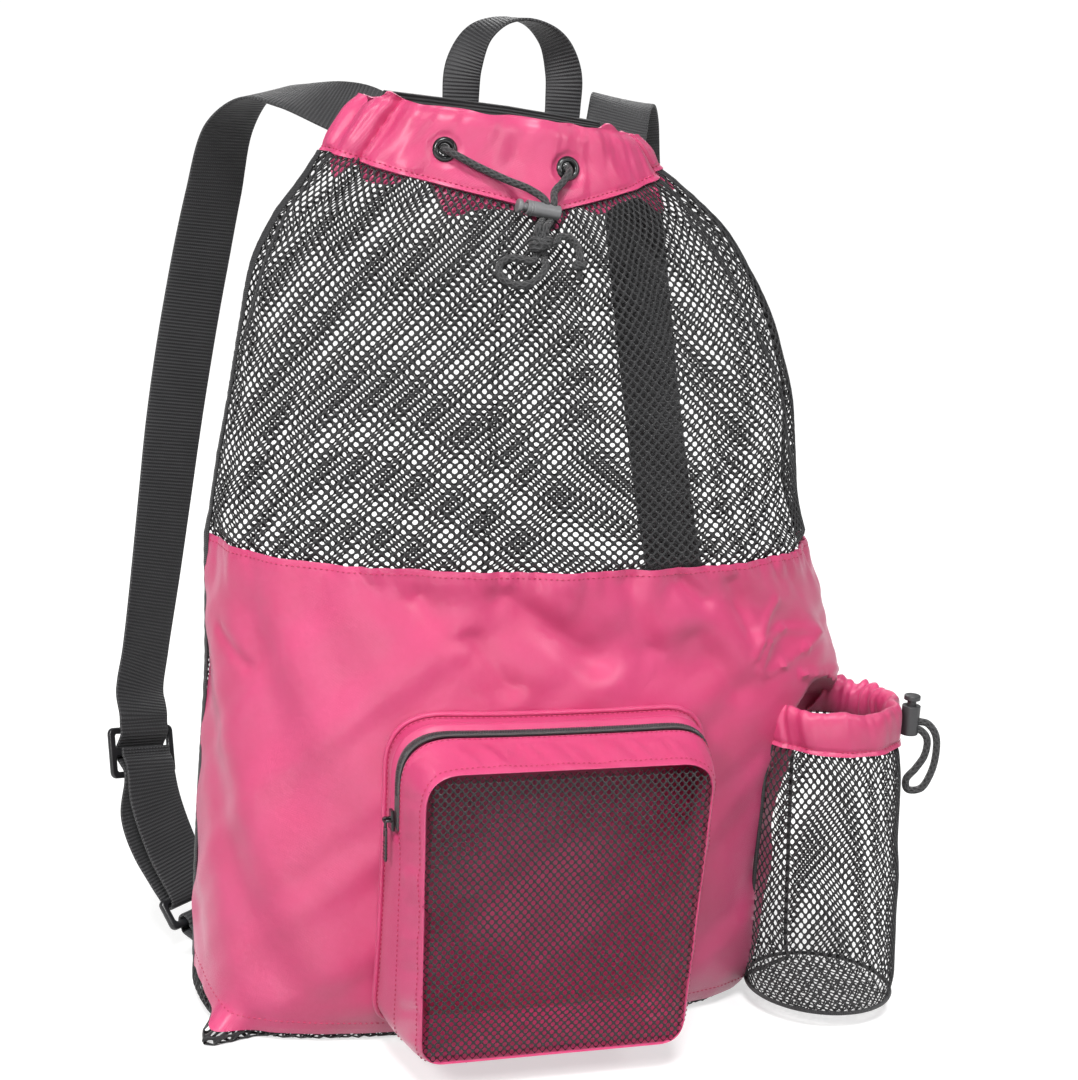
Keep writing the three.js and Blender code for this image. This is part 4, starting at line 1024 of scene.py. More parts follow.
@dataclass
class Net:
    """Knitted net with round openings, made as real strands."""

    across: float = 6.6
    along: float = 5.75
    opening_across: float = 0.58
    opening_along: float = 0.59
    opening_slant: float = 0.395
    thick: float = 1.0
    lowest: float = 0.1

    def knit(self, maker: Maker, columns: int, rows: int, keep: Maker | None = None) -> tuple[Surface, float]:
        """Knit a piece of net over a surface.

        Args:
            maker: Gives the points of the surface at shares u and v.
            columns: Openings across, in one row.
            rows: Openings along, in one column.
            keep: Says which openings stay, from their u and v.

        Returns:
            The net, and its strands' own area in square metres.
        """
        wide, tall = 2 * columns, 2 * rows
        i, j = np.meshgrid(np.arange(wide + 1), np.arange(tall + 1), indexing="ij")
        hole = ((i + j) % 2 == 0) & (i > 0) & (i < wide) & (j > 0) & (j < tall)
        hi, hj = i[hole], j[hole]
        if keep is not None:
            stay = keep(hi / wide, hj / tall)
            hi, hj = hi[stay], hj[stay]
        step = tall + 1
        ways = ((1, 0), (0, 1), (-1, 0), (0, -1))
        corner = np.stack([(hi + x) * step + hj + y for x, y in ways], 1)
        used, tags, uses = np.unique(corner, return_inverse=True, return_counts=True)
        corner = tags.reshape(corner.shape)
        knots = len(used)
        a, b, c = self.opening_across, self.opening_along, self.opening_slant
        ring = np.array([(a, 0), (c, c), (0, b), (-c, c), (-a, 0), (-c, -c), (0, -b), (c, -c)])
        ring_u = (hi[:, None] + ring[None, :, 0]).ravel() / wide
        ring_v = (hj[:, None] + ring[None, :, 1]).ravel() / tall
        u = np.concatenate([used // step / wide, ring_u])
        v = np.concatenate([used % step / tall, ring_v])
        points = maker(u, v)
        tiny = 1e-3
        du = maker(u + tiny, v) - maker(u - tiny, v)
        dv = maker(u, v + tiny) - maker(u, v - tiny)
        out = unit(np.cross(du, dv))[:knots]
        border = uses < 4
        lift = np.where(border, 0.0, self.thick / 2)[:, None]
        front = points[:knots] + out * lift
        back = points[:knots] - out * lift
        holes = len(hi)
        rings = 2 * knots + np.arange(holes * 8).reshape(holes, 8)
        behind = np.where(border[corner], corner, corner + knots)

        def strands(corners: Array) -> Array:
            """Give the triangles between the knots and the openings."""
            faces = []
            for k in range(4):
                here, there = corners[:, k], corners[:, (k + 1) % 4]
                near, between, far = (rings[:, (2 * k + side) % 8] for side in range(3))
                faces += [(here, there, between), (here, between, near), (there, far, between)]
            return np.vstack([np.stack(face, 1) for face in faces])

        ahead = strands(corner)
        rear = np.roll(strands(behind)[:, ::-1], -1, axis=1)
        every = np.vstack([front, back, points[knots:]])
        all_u = np.concatenate([u[:knots], u[:knots], u[knots:]])
        all_v = np.concatenate([v[:knots], v[:knots], v[knots:]])
        loops = np.concatenate([ahead.ravel(), rear.ravel()])
        flat = np.stack([all_u, all_v], -1)[loops]
        cloth = flat * np.array([columns * self.across, rows * self.along]) * MM
        bake = flat * (FACE_WIDE, 1.0)
        bake[ahead.size :, 0] += FACE_SHIFT
        made = Surface(every, [ahead, rear], cloth, bake)
        a0, b0, c0 = (every[ahead[:, k]] for k in range(3))
        area = float(np.linalg.norm(np.cross(b0 - a0, c0 - a0), axis=1).sum()) / 2 * MM * MM
        return made, area

    def sew(
        self,
        shop: Workshop,
        name: str,
        nodes: Sequence[str],
        maker: Maker,
        spread: Sequence[float],
        keep: Maker | None = None,
        flat: Sequence[float] = (),
        rests_on: str = "front_panel",
    ) -> None:
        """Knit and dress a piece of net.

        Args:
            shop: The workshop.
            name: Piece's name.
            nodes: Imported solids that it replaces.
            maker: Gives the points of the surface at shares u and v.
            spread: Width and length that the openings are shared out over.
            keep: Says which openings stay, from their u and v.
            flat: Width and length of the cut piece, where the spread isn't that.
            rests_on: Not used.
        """
        columns, rows = round(spread[0] / self.across), round(spread[1] / self.along)
        made, area = self.knit(maker, columns, rows, keep)
        made.points[:, 2] = np.maximum(made.points[:, 2], self.lowest)
        piece = shop.dress(made.build(name, NET_EDGE), Look.NET, nodes)
        width, length = (float(size) * MM for size in flat or spread)
        area = max(area, LEAST_AREA * width * length)


# The bag's form


@dataclass
class BagForm:
    """Outer face of the bag, by angle from the front and height, in millimetres."""

    # height, reach to the left, right, front and back, place of the side seams, squareness
    sections: Table = (
        (0, 175, 150, 64, 44, 12, 3.4), (10, 181, 164, 76, 50, 16, 3.2), (30, 181, 171, 88, 53, 18, 3.0),
        (80, 182, 175, 100, 54, 20, 2.7), (150, 181, 183, 106, 53, 20, 2.5),
        (205, 180, 208, 107, 52, 20, 2.4), (245, 181, 197, 106, 51, 20, 2.3),
        (284, 181, 182, 105, 50, 20, 2.25), (320, 178, 171, 101, 49, 21, 2.2),
        (360, 172, 169, 93, 48, 23, 2.2), (400, 166, 159, 80, 46, 27, 2.2),
        (432, 160, 145, 66, 44, 32, 2.2), (461, 146, 126, 52, 42, 38, 2.2),
        (482, 130, 103, 43, 39, 42, 2.2), (500, 118, 81, 40, 36, 45, 2.2), (530, 99, 60, 38, 34, 46, 2.2),
    )
    # from angle and height, to angle and height, depth of the valley, half width
    creases: Table = (
        (-32, 272, 22, 226, 4.5, 15), (20, 274, 50, 240, 3, 12), (50, 268, 72, 222, 4.5, 10),
        (68, 276, 78, 232, 4, 9), (-62, 250, -48, 150, 2.5, 14), (-45, 462, -62, 350, 5, 13),
        (-20, 445, -12, 352, 4, 14), (24, 445, 34, 350, 5, 13), (52, 466, 68, 350, 5, 12),
        (-58, 476, -52, 530, 6, 9), (62, 480, 58, 530, 5, 9), (-58.5, -4, -58.5, 0, -26, 11),
    )
    # height, reach down and up, depth, folds in a turn, phase, angles where they begin and end
    gathers: Table = (
        (282, 26, 10, 1.3, 20, 0.4, -30, 90), (478, 58, 14, 2.2, 20, 1.1, 20, 105),
        (508, 20, 40, 1.6, 17, 2.0, 50, 105),
    )
    gather_fade: float = 20.0
    mm_per_radian: float = 137.0
    seam: float = 284.0
    hem: float = 6.0
    hem_from: float = 50.0
    hem_span: float = 36.0
    hem_rise: float = 18.0
    collar_base_front: float = 472.0
    collar_base_rise: float = 25.0
    collar_top_middle: float = 522.0
    collar_top_tilt: float = 7.0
    axis_x: float = 194.0
    axis_y: float = -50.0
    axis_lean: float = -0.07
    dent: float = 44.0
    dent_top: float = 176.0
    dent_fade: float = 34.0

    def column(self, which: int, z: Array) -> Array:
        """Read one column of the sections at heights, without overshoot.

        Args:
            which: Number of the column.
            z: Heights.

        Returns:
            One value for each height.
        """
        table = np.array(self.sections)
        x, y = table[:, 0], table[:, which]
        slope = np.diff(y) / np.diff(x)
        before, after = slope[:-1], slope[1:]
        both = before + after
        inner = np.where(before * after <= 0, 0.0, 2 * before * after / np.where(both == 0, 1.0, both))
        tangent = np.concatenate([[slope[0]], inner, [slope[-1]]])
        here = np.clip(z, x[0], x[-1])
        i = np.clip(np.searchsorted(x, here, side="right") - 1, 0, len(x) - 2)
        step = x[i + 1] - x[i]
        t = (here - x[i]) / step
        value = mix(y[i], y[i + 1], t * t * (3 - 2 * t))
        return value + step * (t * (1 - t) ** 2 * tangent[i] - t * t * (1 - t) * tangent[i + 1])

    def folds(self, angle: Array, z: Array) -> Array:
        """Give the depth of creases and gathers: negative is inwards."""
        depth = valleys(self.creases, angle, z, self.mm_per_radian)
        for height, down, up, deep, count, phase, begin, end in self.gathers:
            reach = np.where(z < height, down, up)
            strength = bell(z - height, reach)
            turned_by = np.degrees(np.abs(angle))
            begun = smooth((turned_by - begin) / self.gather_fade)
            ended = smooth((turned_by - end) / self.gather_fade)
            wave = np.cos(count * angle + phase) + 0.5 * np.cos(count * 0.6 * angle + 2 * phase)
            depth = depth + deep * strength * begun * (1 - ended) * wave
        return depth

    def axis(self, z: Array) -> tuple[Array, float]:
        """Give the middle of the bottle pocket at heights."""
        return self.axis_x + self.axis_lean * z, self.axis_y

    def point(self, angle: Array, z: Array, lift: Array | float = 0.0) -> Array:
        """Give points of the outer face.

        Args:
            angle: Angles from the front, right is positive.
            z: Heights.
            lift: Distance off the face.

        Returns:
            The points.
        """
        angle = wrapped(angle)
        angle, z = np.broadcast_arrays(np.asarray(angle, float), np.asarray(z, float))
        left, right, ahead_by, back_by, seam, square = (self.column(k, z) for k in range(1, 7))
        across, ahead = np.sin(angle), np.cos(angle)
        side = np.where(across < 0, left, right)
        depth = np.where(ahead > 0, ahead_by, back_by)
        k = (np.abs(across) ** square + np.abs(ahead) ** square) ** (-1 / square)
        out_x = np.sign(across) * np.abs(across * k) ** (square - 1) / side
        out_y = -np.sign(ahead) * np.abs(ahead * k) ** (square - 1) / depth
        length = np.hypot(out_x, out_y)
        off = self.folds(angle, z) + lift
        x = side * across * k + out_x / length * off
        y = seam - depth * ahead * k + out_y / length * off
        fade = 1 - smooth((z - self.dent_top) / self.dent_fade)
        radius = self.dent * np.sqrt(np.maximum(fade, 0.0)) - lift
        middle_x, middle_y = self.axis(z)
        away_x, away_y = x - middle_x, y - middle_y
        away = np.maximum(np.hypot(away_x, away_y), 1e-6)
        inside = (fade > 0) & (away < radius)
        x = np.where(inside, middle_x + away_x / away * radius, x)
        y = np.where(inside, middle_y + away_y / away * radius, y)
        return np.stack([x, y, z], -1)

    def normal(self, angle: Array, z: Array) -> Array:
        """Give the outward directions of the face."""
        step = math.radians(0.5)
        du = self.point(angle + step, z) - self.point(angle - step, z)
        dv = self.point(angle, z + 0.5) - self.point(angle, z - 0.5)
        return unit(np.cross(du, dv))

    def share_out(self, x: Array, y: Array, z: Array) -> Array:
        """Say how far points lie from the bag's middle: 1 is on its plain face, without the pocket's dent."""
        left, right, ahead_by, back_by, seam, square = (self.column(k, z) for k in range(1, 7))
        side = np.where(x < 0, left, right)
        depth = np.where(y < seam, ahead_by, back_by)
        return (np.abs(x / side) ** square + np.abs((y - seam) / depth) ** square) ** (1 / square)

    def panel_y(self, x: Array, z: Array) -> Array:
        """Give the depth of the plain front face behind points seen from the front."""
        side = np.where(x < 0, self.column(1, z), self.column(2, z))
        square = self.column(6, z)
        share = np.maximum(1 - np.abs(x / side) ** square, 0) ** (1 / square)
        return self.column(5, z) - self.column(3, z) * share

    def hem_height(self, angle: Array) -> Array:
        """Give the height of the lower hem, which rises at the corners."""
        to_side = 90 - np.abs(90 - np.degrees(np.abs(angle)))
        return self.hem + self.hem_rise * smooth((to_side - self.hem_from) / self.hem_span)

    def collar_base(self, angle: Array) -> Array:
        """Give the height where net meets collar."""
        return self.collar_base_front + self.collar_base_rise * np.sin(np.minimum(np.abs(angle), QUARTER))

    def collar_top(self, angle: Array) -> Array:
        """Give the height of the collar's top edge."""
        return self.collar_top_middle - self.collar_top_tilt * np.sin(angle)

    def angle_at(self, x: float, z: float) -> float:
        """Find the angle round the front at which the face reaches a given X."""
        low, high = -QUARTER, QUARTER
        for _ in range(40):
            middle = (low + high) / 2
            if self.point(np.array(middle), np.array(z))[0] < x:
                low = middle
            else:
                high = middle
        return low

    def off_front(self, x: float, z: float, off: float) -> Array:
        """Give a point straight in front of the face, a distance off it."""
        angle = np.array(self.angle_at(x, z))
        height = np.array(float(z))
        point = self.point(angle, height)
        point[1] += off / self.normal(angle, height)[1]
        return point

    def even_angles(self, begin: float, end: float) -> Callable[[Array], Array]:
        """Give angles that are evenly spaced along the face at the seam's height.

        Args:
            begin: First angle.
            end: Last angle.

        Returns:
            A function from a share to an angle.
        """
        angles = np.linspace(begin, end, 721)
        line = self.point(angles, np.full_like(angles, self.seam))
        run = run_along(line)
        return lambda share: np.interp(share, run / run[-1], angles)


# Camera, floor and light


@dataclass
class Studio:
    """Camera at the photograph's angle, pale floor and soft light, in millimetres."""

    target: Place = (9.0, 0.0, 282.0)
    azimuth: float = -20.0
    elevation: float = 13.0
    roll: float = 4.0
    distance: float = 1300.0
    focal_pixels: float = 2232.0
    picture_pixels: float = 1080.0
    sensor: float = 36.0
    floor_half: float = 9000.0
    floor_drop: float = 0.4
    air: float = 0.22
    sun: float = 2.8
    sun_soft: float = 15.0
    sun_way: Place = (-0.22, -0.62, 0.95)
    floor_glow: float = 0.58
    dome_glow: float = 1.05
    # name, place, side, power in watts and colour
    lamps: tuple[tuple[str, Place, float, float, Place], ...] = (
        ("key", (-1300, -1300, 1300), 520, 34, (1.0, 0.99, 0.97)),
        ("fill", (1100, -1350, 1250), 520, 9, WHITE),
        ("rim", (500, 1500, 1500), 1000, 12, WHITE),
    )

    def camera(self) -> None:
        """Place the camera."""
        turn, rise = math.radians(self.azimuth), math.radians(self.elevation)
        back = np.array([math.sin(turn) * math.cos(rise), -math.cos(turn) * math.cos(rise), math.sin(rise)])
        right = unit(np.cross(Z_WAY, back))
        up = np.cross(back, right)
        lean = math.radians(self.roll)
        right, up = (
            right * math.cos(lean) + up * math.sin(lean),
            up * math.cos(lean) - right * math.sin(lean),
        )
        place = np.array(self.target) + back * self.distance
        data = bpy.data.cameras.new("camera")
        data.sensor_width = self.sensor
        data.lens = self.focal_pixels / self.picture_pixels * self.sensor
        data.clip_start = 0.01
        data.clip_end = 100.0
        made = linked("camera", data)
        made.matrix_world = Axes(place, right, up, back).matrix()
        bpy.context.scene.camera = made

    def floor(self) -> None:
        """Lay the floor."""
        half = self.floor_half
        grid = np.linspace(-half, half, 9)
        x, y = np.meshgrid(grid, grid, indexing="ij")
        points = np.stack([x, y, np.full_like(x, -self.floor_drop)], -1)
        quads = quads_of(*x.shape)
        places = points.reshape(-1, 3)[quads.ravel()][:, :2] * MM
        made = Surface(points.reshape(-1, 3), [quads], places).build("floor")
        made.data.materials.append(Paper("floor_paper", (0.48,) * 3, (0.5,) * 3, self.floor_glow).material())
        made.visible_diffuse = False

    def lamp(self, name: str, place: Place, size: float, power: float, tint: Place) -> None:
        """Hang a soft square lamp that looks at the bag.

        Args:
            name: Lamp's name.
            place: Where it hangs.
            size: Its side.
            power: Its power in watts.
            tint: Its colour.
        """
        data = bpy.data.lights.new(name, "AREA")
        data.shape = "SQUARE"
        data.size = size * MM
        data.energy = power
        data.color = tuple(tint)
        at = np.array(place, float)
        linked(name, data).matrix_world = axes_along(at, at - np.array(self.target)).matrix()

    def light(self) -> None:
        """Light the bag from the upper left, with soft light all round."""
        world = bpy.data.worlds.new("studio_air")
        world.use_nodes = True
        air = world.node_tree.nodes["Background"]
        air.inputs["Color"].default_value = (*WHITE, 1.0)
        air.inputs["Strength"].default_value = self.air
        bpy.context.scene.world = world
        sun = bpy.data.lights.new("sky_light", "SUN")
        sun.energy = self.sun
        sun.angle = math.radians(self.sun_soft)
        linked("sky_light", sun).matrix_world = axes_along(np.zeros(3), np.array(self.sun_way)).matrix()
        for lamp in self.lamps:
            self.lamp(*lamp)
        bpy.context.scene.view_settings.view_transform = "Standard"

    def backdrop(self) -> None:
        """Hang a white dome round the scene that only the camera sees."""
        rows = np.linspace(-0.12, QUARTER - 0.01, 25)
        turn = np.arange(48) * TURN / 48
        radius = self.floor_half
        ring = np.stack([np.cos(turn), np.sin(turn), np.zeros(48)], -1)
        points = ring[None] * np.cos(rows)[:, None, None] + Z_WAY * np.sin(rows)[:, None, None]
        dome = swept(points * radius, turn * radius, rows * radius, capped=False).build("backdrop")
        graph = Graph("backdrop_white")
        glow = graph.node("ShaderNodeEmission", {}, {"Color": (*WHITE, 1.0), "Strength": self.dome_glow})
        graph.node("ShaderNodeOutputMaterial", {}, {0: glow.outputs[0]})
        dome.data.materials.append(graph.material)
        dome.visible_diffuse = False
        dome.visible_glossy = False
        dome.visible_transmission = False
        dome.visible_shadow = False

    def build(self) -> None:
        """Set up everything."""
        self.camera()
        self.floor()
        self.backdrop()
        self.light()


# Cords, knots and locks


@dataclass
class LockSizes:
    """Sizes of a barrel lock and its button."""

    long: float
    radius: float
    bore: float
    bore_deep: float
    soft: float
    stem: float
    stem_long: float
    head: float
    head_long: float
    travel: float
    hole_from: float
    hole_to: float
    hole_deep: float
    grooves: int
    gap: float = 0.5


@dataclass
class CordLock:
    """Barrel lock with a cross hole for the cord and a sprung button."""

    name: str
    at: Array
    axis: Array
    through: Array
    sizes: LockSizes
    look: Look = Look.LOCK
    lip: float = 0.2
    groove: float = 0.35
    groove_from: float = 2.2
    groove_pitch: float = 1.5

    def frame_axes(self) -> Axes:
        """Give axes whose third direction runs along the barrel."""
        return Axes(self.at, np.cross(self.through, self.axis), self.through, self.axis)

    def barrel(self) -> Piece:
        """Turn the barrel and cut its cross hole."""
        s = self.sizes
        start, end = -s.long / 2, s.long / 2
        blind = start + s.bore_deep
        lip = [(s.radius - self.lip, start), (s.radius, start + self.lip)]
        inner = [(0, blind), (s.bore, blind), (s.bore, start), *lip]
        ribs = []
        for k in range(s.grooves):
            middle = start + self.groove_from + self.groove_pitch * k
            low, high = middle - self.groove, middle + self.groove
            ribs += [(s.radius, low), (s.radius - self.groove, middle), (s.radius, high)]
        outer = [(s.radius, end), (0, end)]
        corners = [*inner, *ribs, *outer]
        radii = [0, 0.1, 0.4, 0.5, 0.3, *[0.1] * len(ribs), s.soft * 1.4, 0]
        barrel = turned(rounded(corners, radii), 44, self.frame_axes())
        made = barrel.build(self.name + "_barrel_piece", TURNED_EDGE)
        axes = Axes(self.at, np.cross(self.through, self.axis), self.axis, self.through)
        wide = s.hole_deep
        slot = rectangle(-wide / 2, s.hole_from, wide, s.hole_to - s.hole_from, wide * 0.42)
        tool = plate(self.name + "_slot", [slot], 4 * s.radius, 0.05, axes)
        carve(made, tool)
        return made

    def button(self) -> Piece:
        """Turn the button."""
        s = self.sizes
        start = -s.long / 2
        tip = start + s.stem_long - s.travel - s.gap
        head = start - s.travel - s.gap
        low = head - s.head_long
        corners = [(0, low - 0.15), (s.head * 0.5, low), (s.head, low + 0.1), (s.head, head), (s.stem, head)]
        corners += [(s.stem, tip), (0, tip)]
        radii = [0, 0.6, 0.9, 0.35, 0.3, 0.5, 0]
        made = turned(rounded(corners, radii), 40, self.frame_axes())
        return made.build(self.name + "_button_piece", TURNED_EDGE)

    def build(self, shop: Workshop) -> None:
        """Make and dress both pieces."""
        shop.dress(self.barrel(), self.look, [self.name + "_barrel"])
        node = self.name + "_button"
        shop.dress(self.button(), self.look, [node], node)


@dataclass
class Cord:
    """A free braided cord along its route."""

    name: str
    route: list[Array]
    diameter: float
    exit: Array
    far_end: str
    lay: str
    route_points: int = 36
    step: float = 0.9
    sides: int = 16

    def build(self, shop: Workshop) -> Piece:
        """Args:
            shop: The workshop.

        Returns:
            The cord.
        """
        curve = Spline(self.route)
        line = evenly(curve.at(np.linspace(0, 1, 400)), self.step)
        sleeve = tube(line, self.diameter / 2, self.sides)
        made = shop.dress(sleeve.build(self.name + "_braid", ROUND_EDGE), Look.CORD, [self.name])
        path = curve.at(np.linspace(0, 1, self.route_points))
        (np.asarray(self.exit) * MM).tolist()
        curve.length() * MM
        return made


@dataclass
class Drawcord:
    """Drawcord of the mouth with its lock, knots, loop and tail."""

    form: BagForm
    diameter: float = 4.2
    gap: float = 0.5
    seam_gap: float = 0.8
    lock_at: Place = (-8, 474, 9)
    lock_tilt: float = 8.0
    lock_run: float = 4.5
    strands: tuple[float, float] = (0.9, 5.6)
    knot_at: Place = (-12, 457, 9)
    knot_radius: float = 6.0
    knot_tall: float = 9.0
    end_at: Place = (10, 446, 6)
    end_radius: float = 3.8
    end_tall: float = 6.0
    eyelets: tuple[tuple[str, float, float], ...] = (("left", -59, 503), ("right", 12, 496))
    runs: tuple[Table, ...] = (
        ((-54, 500.5, 6), (-42, 495, 6.5), (-27, 489, 7), (-14, 484.5, 8.5)),
        ((10.5, 494, 6.5), (6, 489, 7.5), (0.5, 484, 8.5)),
    )
    loop_run: Table = (
        (-19, 447.5, 8.5), (-25, 448.5, 7.5), (-31.5, 448, 6.5), (-36.5, 444, 6), (-36, 438.5, 6),
        (-30, 435, 6), (-22, 435.5, 6.5), (-15.5, 439, 7), (-11, 444.5, 8),
    )
    tail_run: Table = ((0, 460.5, 9), (6, 460, 8.5), (9.8, 456, 7.5))
    lock: LockSizes = field(
        default_factory=lambda: LockSizes(20, 4.2, 2.7, 7.5, 0.8, 2.3, 7.4, 3.9, 2.6, 2.5, -1.9, 8.6, 5.4, 2)
    )
    flange: float = 7.0
    bore: float = 3.4
    washer: float = 6.4
    barrel: float = 4.2
    sunk: float = 3.5

    def eyelet_axes(self, x: float, z: float) -> Axes:
        """Give the frame of an eyelet, which looks along its third direction."""
        angle, height = np.array(self.form.angle_at(x, z)), np.array(float(z))
        return axes_along(self.form.point(angle, height), self.form.normal(angle, height))

    def eyelet(self, name: str, axes: Axes, shop: Workshop) -> None:
        """Turn one eyelet with a rolled flange.

        Args:
            name: Left or right.
            axes: Its frame.
            shop: The workshop.
        """
        flange, bore = self.flange, self.bore
        washer, barrel, low = self.washer, self.barrel, -self.sunk
        corners = [(bore, low), (washer, low), (washer, -2.9), (barrel, -2.7), (barrel, 0.9)]
        corners += [(flange, 0.8), (flange, 1.4), (mix(bore, flange, 0.62), 2.6)]
        corners += [(mix(bore, flange, 0.2), 2.3), (bore, 1.0), (bore, low)]
        radii = [0, 0.4, 0.3, 0.5, 0.4, 0.5, 0.9, 1.2, 0.9, 1.2, 0]
        made = turned(rounded(corners, radii), 56, axes).build("eyelet_" + name, ROUND_EDGE)
        shop.dress(made, Look.ENAMEL, ["collar_eyelet_" + name])

    def wrapped_knot(
        self, at: Array, radius: float, tall: float, turns: float, lean: float, thick: float
    ) -> Surface:
        """Wind a cord round itself into a knot.

        Args:
            at: Middle of the knot.
            radius: Its outer radius.
            tall: Its height.
            turns: Number of turns.
            lean: Slant of the turns, as a share of the radius.
            thick: Diameter of the cord.

        Returns:
            The knot.
        """
        t = np.linspace(0, 1, int(60 * turns))
        turn = TURN * turns * t
        reach = radius - thick / 2
        swell = reach * (0.8 + 0.2 * np.sin(math.pi * t))
        height = (t - 0.5) * (tall - thick) + lean * np.cos(turn)
        coil = np.stack([swell * np.cos(turn), 0.8 * swell * np.sin(turn), height], -1)
        coil += 0.35 * np.stack([np.sin(3.1 * turn), np.zeros_like(turn), np.cos(2.3 * turn)], -1)
        core = np.stack([np.zeros(12), np.zeros(12), np.linspace(-0.46, 0.46, 12) * tall], -1)
        ahead = -reach * 0.92 * np.ones_like(t)
        band = np.stack([-reach * 0.7 + 1.4 * reach * t, ahead, 0.34 * tall * (0.5 - t)], -1)
        band[:, 1] += 0.5 * reach * (2 * t - 1) ** 2
        wraps = ((coil, thick / 2), (core, reach * 0.62), (band, thick / 2))
        return joined([tube(line + at, round_it, 12) for line, round_it in wraps])

    def build(self, shop: Workshop) -> None:
        """Make eyelets, cords, knots and lock."""
        spot = self.form.off_front
        lock_at, knot_at, end_at = spot(*self.lock_at), spot(*self.knot_at), spot(*self.end_at)
        tilt = math.radians(self.lock_tilt)
        axis = np.array([math.cos(tilt), 0.0, -math.sin(tilt)])
        through = np.array([-axis[2], 0.0, axis[0]])
        pair = self.diameter / 2 + self.gap / 2
        knot_top = knot_at[2] + self.knot_tall / 2 + self.gap
        knot_low = knot_at[2] - self.knot_tall / 2 - self.gap
        for k, (name, x, z) in enumerate(self.eyelets):
            axes = self.eyelet_axes(x, z)
            self.eyelet(name, axes, shop)
            strand = lock_at + axis * self.strands[k]
            aside = knot_at[0] + (pair if k else -pair)
            route = [axes.spot(0, 0, -6), axes.spot(0, 0, 1.5)]
            route += [spot(*row) for row in self.runs[k]]
            route += [strand + through * self.lock_run, strand - through * self.lock_run]
            route += [np.array([aside, knot_at[1], knot_top + 3]), np.array([aside, knot_at[1], knot_top])]
            Cord("drawcord_" + name, route, self.diameter, axes.origin, "knot", "hanging").build(shop)
        # The drawcord lock is dressed in a lighter copy of the lock plastic, a painted highlight.
        CordLock("cord_lock", lock_at, axis, through, self.lock, Look.LOCK_PAINTED_HIGHLIGHT).build(shop)

        def hang(aside: float) -> list[Array]:
            """Give the two points where a strand leaves the knot."""
            x = knot_at[0] + aside
            return [np.array([x, knot_at[1], knot_low]), np.array([x, knot_at[1], knot_low - 3])]

        route = [*hang(-pair), *(spot(*row) for row in self.loop_run), *hang(pair)[::-1]]
        Cord("drawcord_loop", route, self.diameter, route[0], "knot", "hanging").build(shop)
        side = knot_at[0] + self.knot_radius + self.gap
        route = [knot_at, np.array([side, knot_at[1], knot_at[2]])]
        route.append(np.array([side + 2, knot_at[1], knot_at[2] + 0.5]))
        route += [spot(*row) for row in self.tail_run]
        top = end_at[2] + self.end_tall / 2 + self.seam_gap + self.gap
        route += [np.array([end_at[0], end_at[1], top]), end_at]
        Cord("drawcord_tail", route, self.diameter, route[0], "knot", "hanging").build(shop)
        size = (self.knot_radius + 1.0, self.knot_tall + 1.0)
        knot = self.wrapped_knot(knot_at, *size, 2.6, 1.2, self.diameter)
        shop.dress(knot.build("main_knot", ROUND_EDGE), Look.CORD, ["drawcord_knot"])
        size = (self.end_radius + 0.9, self.end_tall + 0.6)
        small = self.wrapped_knot(end_at, *size, 1.6, 0.7, self.diameter * 0.8)
        down = end_at[2] - np.linspace(2, 7.5, 8)
        tip = np.stack([np.full(8, end_at[0] + 0.4), np.full(8, end_at[1]), down], -1)
        frayed = joined([small, tube(tip, np.linspace(1.5, 2.1, 8), 10)])
        shop.dress(frayed.build("end_knot", ROUND_EDGE), Look.CORD, ["drawcord_end_knot"])


# Webbing


@dataclass
class Webbing:
    """Flat woven band with rounded edges."""

    width: float
    thick: float
    step: float = 2.0

    def section(self) -> tuple[Array, Array]:
        """Give the points of the section, across and off the face, and their places round it."""
        half, deep = self.width / 2, self.thick / 2
        across = np.linspace(-half + deep, half - deep, 7)
        points = [(x, -deep) for x in across]
        points += [(half - deep + deep * math.cos(a), deep * math.sin(a)) for a in (-0.8, 0.0, 0.8)]
        points += [(x, deep) for x in across[::-1]]
        points += [(-half + deep - deep * math.cos(a), deep * math.sin(a)) for a in (0.8, 0.0, -0.8)]
        outline = np.array(points)
        return outline, outline[:, 0] + half

    def along(self, rows: Sequence[Row]) -> Surface:
        """Lay the band along rows.

        Args:
            rows: Points of its middle and the directions across it.

        Returns:
            The band.
        """
        line = Spline([row[0] for row in rows])
        ways = Spline([row[1] for row in rows])
        count = max(int(line.length() / self.step), 4 * len(rows))
        fine = np.linspace(0, 1, 8 * count)
        points = line.at(fine)
        run = run_along(points)
        share = np.interp(np.linspace(0, run[-1], count + 1), run, fine)
        middle = line.at(share)
        ahead = unit(np.gradient(middle, axis=0))
        across = ways.at(share)
        across = unit(across - ahead * (across * ahead).sum(1, keepdims=True))
        face = np.cross(ahead, across)
        outline, places = self.section()
        wide, deep = outline[None, :, :1], outline[None, :, 1:]
        sections = middle[:, None] + across[:, None] * wide + face[:, None] * deep
        made = swept(sections, np.arange(len(outline), dtype=float), np.linspace(0, run[-1], count + 1))
        sides = len(outline)
        order = np.arange(sides)
        left = places[order]
        right = places[(order + 1) % sides]
        quads = np.tile(np.stack([left, right, right, left], 1).reshape(1, -1), (count, 1)).reshape(-1)
        made.cloth[: len(quads), 0] = quads * MM
        return made


@dataclass
class StrapEnd:
    """Places of one shoulder strap and its fittings."""

    side: Side
    rows: Table
    slider_at: Place
    slider_across: Place
    slider_down: Place
    slider_shift: float
    ring_at: Place
    ring_across: Place
    ring_down: Place
    back_run: Table
    front_run: Table
    anchor_angle: float


